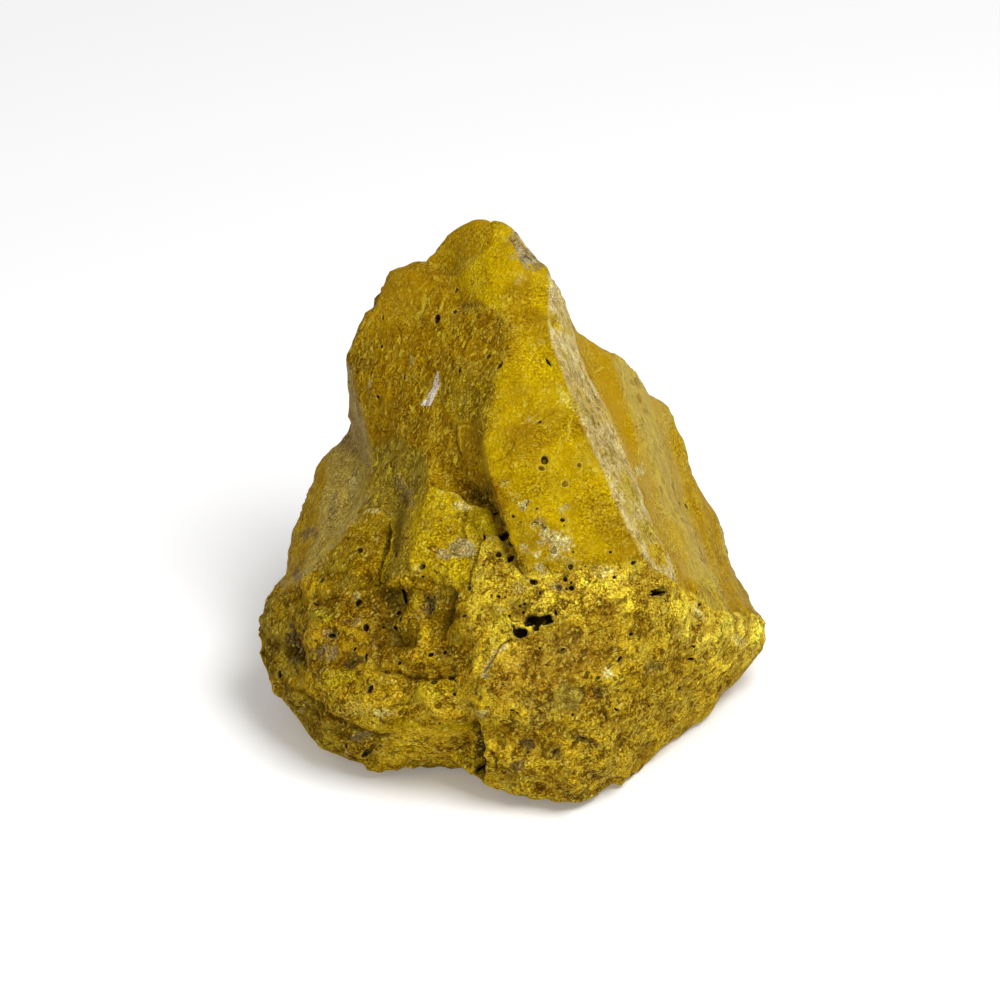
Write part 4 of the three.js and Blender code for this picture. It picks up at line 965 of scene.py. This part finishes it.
def broad_relief(points, shares, show):
    """Unevenness that every surface has, and the fine ribs of the streaked and the bedded faces."""
    height = 0.3 * noise(points, 9, 1) + 0.2 * noise(points, 3.7, 2) + 0.1 * noise(points, 1.7, 3)
    ribs = np.flatnonzero(shares["left_face"] > 0)
    streaks = fractal(squeezed(points[ribs], STREAK, 0.4), 1.7, 2, 4)
    height[ribs] += 0.2 * shares["left_face"][ribs] * streaks
    beds = np.flatnonzero(show > 0)
    layers = bedded(points[beds])
    height[beds] += show[beds] * (0.16 * noise(layers, 2.6, 6) + 0.06 * noise(layers, 1.2, 7))
    return height


def rough_relief(points, chunky, grainy):
    """Scooped chips and rounded grains, where the surface is crumbly."""
    height = np.zeros(len(points))
    at = np.flatnonzero(chunky > 0.05)
    rough = points[at] + 0.5 * noise(points[at], 2.4, 8)[:, None]
    height[at] += chunky[at] * (0.85 * scoops(rough, 5.0, 9) + 0.5 * scoops(rough, 2.3, 14))
    at = np.flatnonzero(grainy > 0.3)
    height[at] += grainy[at] * (0.24 * pebbles(points[at], 1.5, 12) + 0.12 * noise(points[at], 0.9, 13))
    return height


def swells(seen):
    height = np.zeros(len(seen))
    for across, up, width, height_up, slant, rise in SWELLS:
        at = boxed(seen, (across, up), max(width, height_up) / 2)
        height[at] += rise * (1 - smoothstep(0.1, 1.0, oval(seen[at], across, up, width, height_up, slant)))
    return height


def steps(seen, ragged):
    height = np.zeros(len(seen))
    for line, rise, reach in STEPS:
        at = boxed(seen, line, reach)
        distance, side, travelled = along_line(seen[at] + 0.25 * ragged[at], line)
        fade = smoothstep(0, 0.12, travelled) * smoothstep(1, 0.88, travelled)
        edge = np.clip(side * distance / 0.22, -1, 1)
        height[at] += 0.5 * rise * edge * fade * (1 - smoothstep(0.15, 1.0, distance / reach))
    return height


def ridge_rise(seen):
    """Sharpens the crest between the bright facet and the right flank."""
    height = np.zeros(len(seen))
    at = boxed(seen, RIDGE, RIDGE_WIDTH)
    distance, _, travelled = along_line(seen[at], RIDGE)
    fade = smoothstep(0, 0.06, travelled) * smoothstep(1, 0.94, travelled)
    height[at] = RIDGE_RISE * fade * np.clip(1 - distance / RIDGE_WIDTH, 0, 1) ** 2
    return height


def groove_depth(seen, ragged):
    depth, dark = np.zeros(len(seen)), np.zeros(len(seen))
    for line, width, full in GROOVES:
        at = boxed(seen, line, width)
        distance, _, travelled = along_line(seen[at] + 0.15 * ragged[at], line)
        fade = smoothstep(0, 0.1, travelled) * smoothstep(1, 0.9, travelled)
        profile = fade * (1 - smoothstep(0.05, 1.0, distance / (width / 2)))
        depth[at] = np.maximum(depth[at], full * profile)
        # Painted shade in the groove, darker for deeper grooves.
        dark[at] = np.maximum(dark[at], min(1.0, 0.45 + 0.4 * full) * profile)
    return depth, dark


def pit_depth(points, seen, front, scattered):
    """How deep the pits and cavities go, and how much painted shade darkens them inside."""
    ragged = 1 + 0.22 * noise(points, 0.7, 23)
    depth, dark = np.zeros(len(points)), np.zeros(len(points))
    kinds = [
        (PITS, PIT_SPREAD, 1, 0.5, None, 1.0),
        (SHALLOW_PITS, 1.0, 1, 0.35, SHALLOW_DEPTH, 0.55),
        (CAVITIES, 1.0, 3, 0.6, CAVITY_DEPTH, 1.0),
    ]
    for marks, spread, raggedness, floor, full, darkness in kinds:
        for across, up, width, height, slant in marks:
            at = boxed(seen, (across, up), max(width, height))
            bowl = oval(seen[at], across, up, width, height, slant) / spread * ragged[at] ** raggedness
            bowl = front[at] * (1 - smoothstep(floor, 1.0, bowl))
            depth[at] = np.maximum(depth[at], bowl * (full or PIT_DEPTH * (width + height) / 2))
            dark[at] = np.maximum(dark[at], bowl * darkness)
    for centre, width, stretch in scattered:
        at = boxed(points, centre, width)
        bowl = 1 - smoothstep(0.4, 1.0, in_pit(points[at], centre, width, stretch) * ragged[at] ** 2)
        depth[at] = np.maximum(depth[at], 0.6 * width * bowl)
        dark[at] = np.maximum(dark[at], bowl)
    return depth, dark


def colours(points, shares, rough):
    """Colour of each point from its zone, with painted shade in the relief's hollows and painted light on its
    crests.
    """
    patchy = smoothstep(-0.2, 0.5, fractal(points, 9, 3, 41))[:, None]
    tint = np.array(MUSTARD) + patchy * (np.array(OCHRE) - np.array(MUSTARD))
    tint = blended(tint, shares, COLOUR)
    # Painted shade in the hollows and painted light on the crests, along with some wear.
    relief_light_and_shade = np.clip(rough / 0.6, -1, 1)[:, None]
    return tint * np.where(relief_light_and_shade > 0, 1 + 0.25 * relief_light_and_shade, 1 + np.array([0.4, 0.48, 0.4]) * relief_light_and_shade)


def patches(seen, front, tint):
    """The colour of the patch nearest each point, and its cover: 0.5 on a patch's rim, more inside."""
    target, cover = tint.copy(), np.zeros(len(tint))
    for across, up, width, height, slant, colour, strength in PATCHES:
        at = boxed(seen, (across, up), max(width, height) / 2 + 1.2)
        inside = (1 - oval(seen[at], across, up, width, height, slant)) * min(width, height)
        near = front[at] * np.clip(0.5 + 0.28 * inside, 0, 0.8)
        at, near = at[near > cover[at]], near[near > cover[at]]
        target[at] = tint[at] + strength * (np.array(colour) - tint[at])
        cover[at] = near
    chip = front * within(seen, CHIP, 0.12)
    target[chip > 0.1] = PINK
    return target, np.maximum(cover, 2 * chip)


def carved():
    """The finished surface: points, triangles and what the material reads at each point."""
    points, triangles = welded(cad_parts["stone"].data)
    for edge in (FIRST_EDGE, SECOND_EDGE):
        points, triangles = refined(points, triangles, lambda middles, _: np.full(len(middles), edge))
        points = smoothed(points, triangles, SMOOTH_PASSES)
    scattered = hidden_pits(points, point_normals(points, triangles))
    points, triangles = refined(points, triangles, edge_limit(scattered))
    normals = point_normals(points, triangles)
    front = facing_front(normals)
    seen = as_seen(points)

    shares = zone_shares(points, normals)
    show = bed_show(points, normals, shares)
    hidden = (1 - front) * smoothstep(-0.2, 0.4, noise(points, 14, 34))
    wide = zone_shares(points, normals, 1.2)
    chunky = blended(0.12 + 0.5 * hidden, wide, CHUNKY)
    grainy = blended(0.3 + 0.4 * hidden, wide, GRAINY)
    ragged = np.stack([noise(points, 1.8, 21), noise(points, 1.8, 22)], axis=1)
    hollow, pit_shade = pit_depth(points, seen, front, scattered)
    groove, groove_shade = groove_depth(seen, ragged)
    rough = rough_relief(points, chunky, grainy)
    tint = colours(points, shares, rough)
    target, cover = patches(seen, front, tint)

    height = broad_relief(points, shares, show) + rough - hollow
    height += front * (swells(seen) + steps(seen, ragged) + ridge_rise(seen) - groove)
    resting = points[:, 2] < ON_GROUND
    shift = height[:, None] * normals
    shift[resting] = np.clip(shift[resting], -0.5, 0.5) * (1, 1, 0)
    carved_points = points + shift
    carved_points[:, 2] = np.maximum(carved_points[:, 2], np.where(resting, 0.0, OFF_GROUND))
    marks = {
        "beds": show,
        "grain": np.clip(grainy, 0, 1),
        "streaks": shares["left_face"] * (1 - shares["niche"]) * (1 - 0.6 * shares["left_face_top"]),
        "hollow": pit_shade,
        "groove": front * groove_shade,
        "patched": cover,
    }
    return carved_points, triangles, {"tint": tint, "patch": target}, marks


# ---- Blender objects ----


def stone_object(material):
    points, triangles, colours_read, marks = carved()
    mesh = bpy.data.meshes.new("stone_surface")
    mesh.from_pydata((points * MM).tolist(), [], triangles.tolist())
    mesh.shade_smooth()
    for name, values in colours_read.items():
        rgba = np.hstack([np.clip(values, 0, 1), np.ones((len(values), 1))])
        mesh.attributes.new(name, "FLOAT_COLOR", "POINT").data.foreach_set("color", rgba.reshape(-1))
    for name, values in marks.items():
        mesh.attributes.new(name, "FLOAT", "POINT").data.foreach_set("value", values)
    mesh.materials.append(material)
    stone = bpy.data.objects.new("stone_surface", mesh)
    bpy.context.collection.objects.link(stone)
    return stone


class Nodes:
    """Short names for making and joining a material's nodes."""

    def __init__(self, name):
        self.material = bpy.data.materials.new(name)
        self.material.use_nodes = True
        self.tree = self.material.node_tree
        self.shader = self.tree.nodes["Principled BSDF"]

    def add(self, kind, **settings):
        node = self.tree.nodes.new(kind)
        for name, value in settings.items():
            setattr(node, name, value)
        return node

    def join(self, source, target):
        """Links a socket, or sets the target to a plain value."""
        if isinstance(source, bpy.types.NodeSocket):
            self.tree.links.new(source, target)
        else:
            target.default_value = source

    def math(self, operation, *values, clamp=False):
        node = self.add("ShaderNodeMath", operation=operation, use_clamp=clamp)
        for value, socket in zip(values, node.inputs):
            self.join(value, socket)
        return node.outputs[0]

    def vector(self, operation, first, second=None, scale=None):
        node = self.add("ShaderNodeVectorMath", operation=operation)
        self.join(first, node.inputs[0])
        if second is not None:
            self.join(second, node.inputs[1])
        if scale is not None:
            self.join(scale, node.inputs["Scale"])
        return node.outputs["Value"] if operation == "DOT_PRODUCT" else node.outputs["Vector"]

    def ramp(self, value, low, high, start=0.0, end=1.0):
        node = self.add("ShaderNodeMapRange", interpolation_type="SMOOTHSTEP")
        self.join(value, node.inputs["Value"])
        for name, number in zip(("From Min", "From Max", "To Min", "To Max"), (low, high, start, end)):
            self.join(number, node.inputs[name])
        return node.outputs[0]

    def mix(self, share, first, second, blend="MIX"):
        node = self.add("ShaderNodeMix", data_type="RGBA", blend_type=blend)
        self.join(share, node.inputs["Factor"])
        self.join(first, node.inputs[6])
        self.join(second, node.inputs[7])
        return node.outputs[2]

    def fac(self, name):
        return self.add("ShaderNodeAttribute", attribute_name=name).outputs["Fac"]

    def blue(self, colour):
        node = self.add("ShaderNodeSeparateColor")
        self.join(colour, node.inputs["Color"])
        return node.outputs["Blue"]

    def noise(self, place, wavelength_mm, detail=2.0, roughness=0.5, distortion=0.0):
        node = self.add("ShaderNodeTexNoise")
        self.join(place, node.inputs["Vector"])
        node.inputs["Scale"].default_value = 1 / (wavelength_mm * MM)
        node.inputs["Detail"].default_value = detail
        node.inputs["Roughness"].default_value = roughness
        node.inputs["Distortion"].default_value = distortion
        return node.outputs["Fac"]

    def cells(self, place, size_mm):
        """Rounded grains: how far a place is from its grain's middle, and two random values of the grain."""
        node = self.add("ShaderNodeTexVoronoi")
        self.join(place, node.inputs["Vector"])
        node.inputs["Scale"].default_value = 1 / (size_mm * MM)
        values = self.add("ShaderNodeSeparateColor")
        self.join(node.outputs["Color"], values.inputs["Color"])
        return node.outputs["Distance"], values.outputs["Red"], values.outputs["Green"]

    def cell_edges(self, place, size_mm, width):
        """1 on the thin lines between large cells, a share of their size wide, 0 elsewhere."""
        node = self.add("ShaderNodeTexVoronoi", feature="DISTANCE_TO_EDGE")
        self.join(place, node.inputs["Vector"])
        node.inputs["Scale"].default_value = 1 / (size_mm * MM)
        return self.ramp(node.outputs["Distance"], width, 0.0)

    def along(self, place, direction):
        """How far a place is along a direction, and the vector from the origin to there."""
        distance = self.vector("DOT_PRODUCT", place, direction)
        return distance, self.vector("SCALE", direction, scale=distance)


def bed_colours(n, place):
    """The colour of the bed that a place lies in, and the light and dark of its thin layers and dabs."""
    depth, spot = n.along(place, tuple(BED_NORMAL))
    within_bed = n.vector("SUBTRACT", place, spot)

    # Noise read at these places is drawn out along the beds, a little or a lot.
    flat = n.vector("ADD", spot, n.vector("SCALE", within_bed, scale=0.34))
    thin = n.vector("ADD", spot, n.vector("SCALE", within_bed, scale=0.07))
    dabs = n.ramp(n.noise(flat, 0.62, 2, 0.5), 0.32, 0.6, -1.0, 0.45)
    layers = n.ramp(n.noise(thin, 1.1, 3, 0.6), 0.36, 0.62, -1.0, 0.6)

    # The beds wander a little, and their depths are read off a ramp of colours.
    for where, size, swing in ((place, 28, 2.4), (place, 8, 1.6), (place, 1.2, 0.6), (thin, 2.4, 3.2)):
        depth = n.math("MULTIPLY_ADD", n.math("SUBTRACT", n.noise(where, size, 2), 0.5), swing * MM, depth)
    middle = FACE_ORIGIN @ BED_NORMAL * MM
    reading = n.math("MULTIPLY_ADD", n.math("SUBTRACT", depth, middle), 0.5 / (BED_SPAN * MM), 0.5)
    node = n.add("ShaderNodeValToRGB")
    n.join(reading, node.inputs["Fac"])
    stops = [(-BED_SPAN, BEDS[0][1])]
    for (end, colour), (_, following) in zip(BEDS, BEDS[1:]):
        stops += [(end - BED_BLUR, colour), (end + BED_BLUR, following)]
    elements = node.color_ramp.elements
    elements[0].position, elements[0].color = 0.0, (*stops[0][1], 1)
    elements.remove(elements[1])
    for at, colour in stops[1:]:
        elements.new(0.5 + 0.5 * at / BED_SPAN).color = (*colour, 1)

    # Clouds everywhere, and stains and specks in the pale beds.
    pale = n.ramp(n.blue(node.outputs["Color"]), 0.01, 0.035, 0.25, 1.0)
    cloudy = n.ramp(n.noise(place, 9, 3, 0.6), 0.42, 0.62, 0.0, 0.75)
    clouded = n.mix(1.0, node.outputs["Color"], (0.86, 0.8, 0.62, 1), "MULTIPLY")
    colour = n.mix(cloudy, node.outputs["Color"], clouded)
    stained = n.math("MULTIPLY", n.ramp(n.noise(flat, 1.5, 3, 0.6), 0.53, 0.62, 0.0, 0.75), pale)
    colour = n.mix(stained, colour, (*STAIN, 1))
    specks = n.math("MULTIPLY", n.ramp(n.noise(flat, 0.6, 1, 0.5), 0.39, 0.32, 0.0, 0.6), pale)
    dabs = n.math("MULTIPLY_ADD", layers, 0.45, n.math("MULTIPLY", dabs, pale))
    return n.mix(specks, colour, (*SPECK, 1)), dabs


def stone_material():
    """Waxy stone: bedded on its flanks, streaked on its left face, mottled and grainy where it is crumbly."""
    n = Nodes("stone")
    place = n.add("ShaderNodeTexCoord").outputs["Object"]
    tint = n.add("ShaderNodeAttribute", attribute_name="tint").outputs["Color"]
    patch = n.add("ShaderNodeAttribute", attribute_name="patch").outputs["Color"]
    grain, streaked, show = n.fac("grain"), n.fac("streaks"), n.fac("beds")
    hollow, groove = n.fac("hollow"), n.fac("groove")

    beds, dabs = bed_colours(n, place)
    colour = n.mix(show, tint, beds)

    # Patches have torn edges, and the chalky ones are grainy.
    torn = n.math("SUBTRACT", n.noise(place, 1.5, 5, 0.7), 0.5)
    patched = n.ramp(n.math("MULTIPLY_ADD", torn, 2.2, n.fac("patched")), 0.36, 0.68)
    colour = n.mix(patched, colour, patch)
    blue = n.blue(patch)
    chalky = n.math("MULTIPLY", n.ramp(blue, 0.03, 0.08, 0.0, 0.95), patched)
    chalky = n.math("MULTIPLY", n.ramp(blue, 0.5, 0.4), chalky)
    grain = n.math("MAXIMUM", grain, chalky)

    # Rust and moss tinge the crumbly parts.
    rusty = n.ramp(n.noise(place, 4.5, 3, 0.6), 0.5, 0.62, 0.0, 0.42)
    rusty = n.math("MULTIPLY", rusty, n.ramp(grain, 0.4, 0.9))
    colour = n.mix(rusty, colour, (*RUST, 1))
    mossy = n.math("MULTIPLY", n.ramp(n.noise(place, 3.8, 3, 0.6), 0.48, 0.36, 0.0, 0.4), grain)
    colour = n.mix(mossy, colour, (*MOSS, 1))

    # Streaks climb the left face, and layers and dabs run along the beds.
    _, spot = n.along(place, tuple(STREAK))
    drawn = n.vector("SUBTRACT", place, n.vector("SCALE", spot, scale=0.55))
    uneven = n.math("MULTIPLY", n.ramp(n.noise(place, 5, 3, 0.6), 0.38, 0.62, 0.25, 1.2), streaked)
    streaks = n.math("MULTIPLY", n.ramp(n.noise(drawn, 0.72, 3, 0.6), 0.38, 0.62, -1.1, 1.0), uneven)
    lengthwise = n.math("MULTIPLY_ADD", dabs, show, streaks)

    # Light and dark: soft mottling, rounded grains in two sizes, and fine grit.
    mottle = n.ramp(n.noise(place, 3.2, 4, 0.6), 0.34, 0.66, -1.0, 1.0)
    grit = n.ramp(n.noise(place, 0.34, 3, 0.6), 0.36, 0.64, -1.0, 1.0)
    bend = n.math("MULTIPLY", n.noise(place, 1.1, 2, 0.5), 1.4 * MM)
    bent = n.vector("ADD", place, n.vector("SCALE", (1.0, 1.0, 1.0), scale=bend))
    gap, fine_shade, fine_kind = n.cells(bent, 0.62)
    _, coarse_shade, _ = n.cells(bent, 1.7)
    rim = n.ramp(gap, 0.3, 0.62)
    shade = n.math("MULTIPLY_ADD", fine_shade, 0.9, n.math("MULTIPLY_ADD", coarse_shade, 0.6, -0.52))
    shade = n.math("MULTIPLY_ADD", mottle, 0.38, n.math("MULTIPLY_ADD", rim, -0.35, shade))
    shade = n.math("MULTIPLY", shade, grain)
    gritty = n.ramp(n.noise(place, 6, 3, 0.6), 0.4, 0.64, 0.05, 0.6)
    specks = n.math("MULTIPLY", grit, n.math("MULTIPLY", grit, grit))
    shade = n.math("MULTIPLY_ADD", specks, gritty, shade)
    shade = n.math("MULTIPLY_ADD", n.math("MULTIPLY", grit, grain), 0.36, shade)
    shade = n.math("MULTIPLY_ADD", lengthwise, 0.34, shade)
    darker = n.math("MULTIPLY", shade, n.math("MULTIPLY_ADD", chalky, 0.6, -1.0), clamp=True)
    lighter = n.math("MULTIPLY", shade, 0.9, clamp=True)
    colour = n.mix(darker, colour, n.mix(1.0, colour, (0.34, 0.24, 0.16, 1), "MULTIPLY"))
    colour = n.mix(lighter, colour, n.mix(1.0, colour, (1.6, 1.85, 2.2, 1), "MULTIPLY"))

    # Pale flecks and dashes, dark crannies, healed cracks, pit rims, and painted shade in grooves and pits.
    flecks = n.math("MULTIPLY", n.ramp(fine_kind, 0.62, 0.84), n.ramp(gap, 0.6, 0.15))
    flecks = n.math("MULTIPLY", flecks, n.ramp(grain, 0.25, 1.0, 0.2, 0.75))
    colour = n.mix(flecks, colour, (*CREAM, 1))
    dashes = n.math("MULTIPLY", n.ramp(n.noise(drawn, 0.6, 1, 0.5, 0.3), 0.58, 0.66, 0.0, 0.8), uneven)
    colour = n.mix(dashes, colour, (*DASH, 1))
    crannies = n.math("MULTIPLY", n.ramp(fine_kind, 0.12, 0.08), n.ramp(grain, 0.3, 1.0, 0.05, 0.7))
    colour = n.mix(crannies, colour, (*UMBER, 1))
    healed = n.math("MULTIPLY", n.cell_edges(bent, 6.5, 0.035), n.ramp(n.noise(place, 7, 2), 0.46, 0.6))
    healed = n.math("MULTIPLY", healed, n.ramp(n.math("ADD", grain, show), 0.9, 0.3, 0.0, 0.7))
    colour = n.mix(healed, colour, (*DASH, 1))
    lip = n.math("MULTIPLY", n.ramp(hollow, 0.02, 0.1), n.ramp(hollow, 0.4, 0.15, 0.0, 0.45))
    colour = n.mix(lip, colour, (*CREAM, 1))
    # Painted shade in the grooves.
    colour = n.mix(n.math("MULTIPLY", groove, 0.8), colour, (*GROOVE_SHADE, 1))
    # Painted shade inside the pits and cavities, weaker in a few grains.
    inside = n.math("MULTIPLY", n.ramp(hollow, 0.15, 0.7), n.ramp(fine_kind, 0.74, 0.84, 0.95, 0.7))
    colour = n.mix(inside, colour, (*PIT_SHADE, 1))
    n.join(colour, n.shader.inputs["Base Color"])

    # Waxy, and duller where it is grainy or hollow.
    dullness = n.math("MULTIPLY_ADD", grain, 0.25, 0.36)
    dullness = n.math("MULTIPLY_ADD", shade, -0.08, dullness)
    dullness = n.math("MULTIPLY_ADD", hollow, 0.3, dullness, clamp=True)
    n.join(dullness, n.shader.inputs["Roughness"])
    n.shader.inputs["Specular IOR Level"].default_value = 0.014
    n.shader.inputs["Specular Tint"].default_value = (1.0, 0.82, 0.08, 1)

    # Relief too fine for the mesh.
    height = n.math("MULTIPLY_ADD", fine_shade, 0.8, n.math("MULTIPLY", grit, 0.3))
    height = n.math("MULTIPLY_ADD", rim, -0.8, n.math("SUBTRACT", height, crannies))
    height = n.math("MULTIPLY", height, n.ramp(grain, 0.0, 1.0, 0.25, 1.6))
    height = n.math("MULTIPLY_ADD", lengthwise, 0.4, n.math("SUBTRACT", height, healed))
    bump = n.add("ShaderNodeBump")
    bump.inputs["Distance"].default_value = 0.22 * MM
    n.join(height, bump.inputs["Height"])
    n.join(bump.outputs["Normal"], n.shader.inputs["Normal"])
    return n.material


# ---- Stage ----

FLOOR_WIDTH = 6.0  # metres
FLOOR_GLOW = 0.16  # keeps the floor near white where the lamps fall off
STUDIO_GLOW = 0.42  # soft light from all round


def face_place(across, up, out):
    """A place of the front face's frame, in metres in the resting frame."""
    return Vector((FACE_ORIGIN + across * ACROSS + up * UP + out * OUT) * MM)


def make_floor():
    mesh = bpy.data.meshes.new("floor")
    half = FLOOR_WIDTH / 2
    corners = [(-half, -half, 0), (half, -half, 0), (half, half, 0), (-half, half, 0)]
    mesh.from_pydata(corners, [], [(0, 1, 2, 3)])
    n = Nodes("floor")
    n.shader.inputs["Base Color"].default_value = (0.9, 0.9, 0.9, 1)
    n.shader.inputs["Roughness"].default_value = 0.8
    n.shader.inputs["Emission Color"].default_value = (1, 1, 1, 1)
    n.shader.inputs["Emission Strength"].default_value = FLOOR_GLOW
    mesh.materials.append(n.material)
    floor = bpy.data.objects.new("floor", mesh)
    bpy.context.collection.objects.link(floor)


def make_camera():
    data = bpy.data.cameras.new("camera")
    data.lens = LENS
    data.clip_start, data.clip_end = 0.05, 20
    camera = bpy.data.objects.new("camera", data)
    bpy.context.collection.objects.link(camera)
    camera.location = face_place(*FRONT_AIM) + Vector(OUT) * FRONT_DISTANCE * MM
    camera.rotation_euler = Matrix((ACROSS, UP, OUT)).transposed().to_euler()
    bpy.context.scene.camera = camera


def area_light(name, direction, distance, size, power):
    """A soft square lamp, off in a direction from the stone and aimed at it."""
    data = bpy.data.lights.new(name, "AREA")
    data.size = size
    data.energy = power
    lamp = bpy.data.objects.new(name, data)
    bpy.context.collection.objects.link(lamp)
    away = Vector(direction).normalized()
    lamp.location = (frame_low + frame_high) / 2 + away * distance
    lamp.rotation_euler = away.to_track_quat("Z", "Y").to_euler()


def make_light():
    world = bpy.data.worlds.new("studio")
    world.use_nodes = True
    background = world.node_tree.nodes["Background"]
    background.inputs["Color"].default_value = (1, 1, 1, 1)
    background.inputs["Strength"].default_value = STUDIO_GLOW
    bpy.context.scene.world = world
    area_light("key", direction=(0.35, -0.35, 0.9), distance=0.6, size=0.3, power=3.3)
    area_light("fill", direction=(-0.8, -0.6, 0.5), distance=0.9, size=0.6, power=0.43)
    bpy.context.scene.view_settings.view_transform = "Standard"


make_camera()
make_floor()
make_light()
stone = stone_object(stone_material())
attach(stone, "root")
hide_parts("stone")
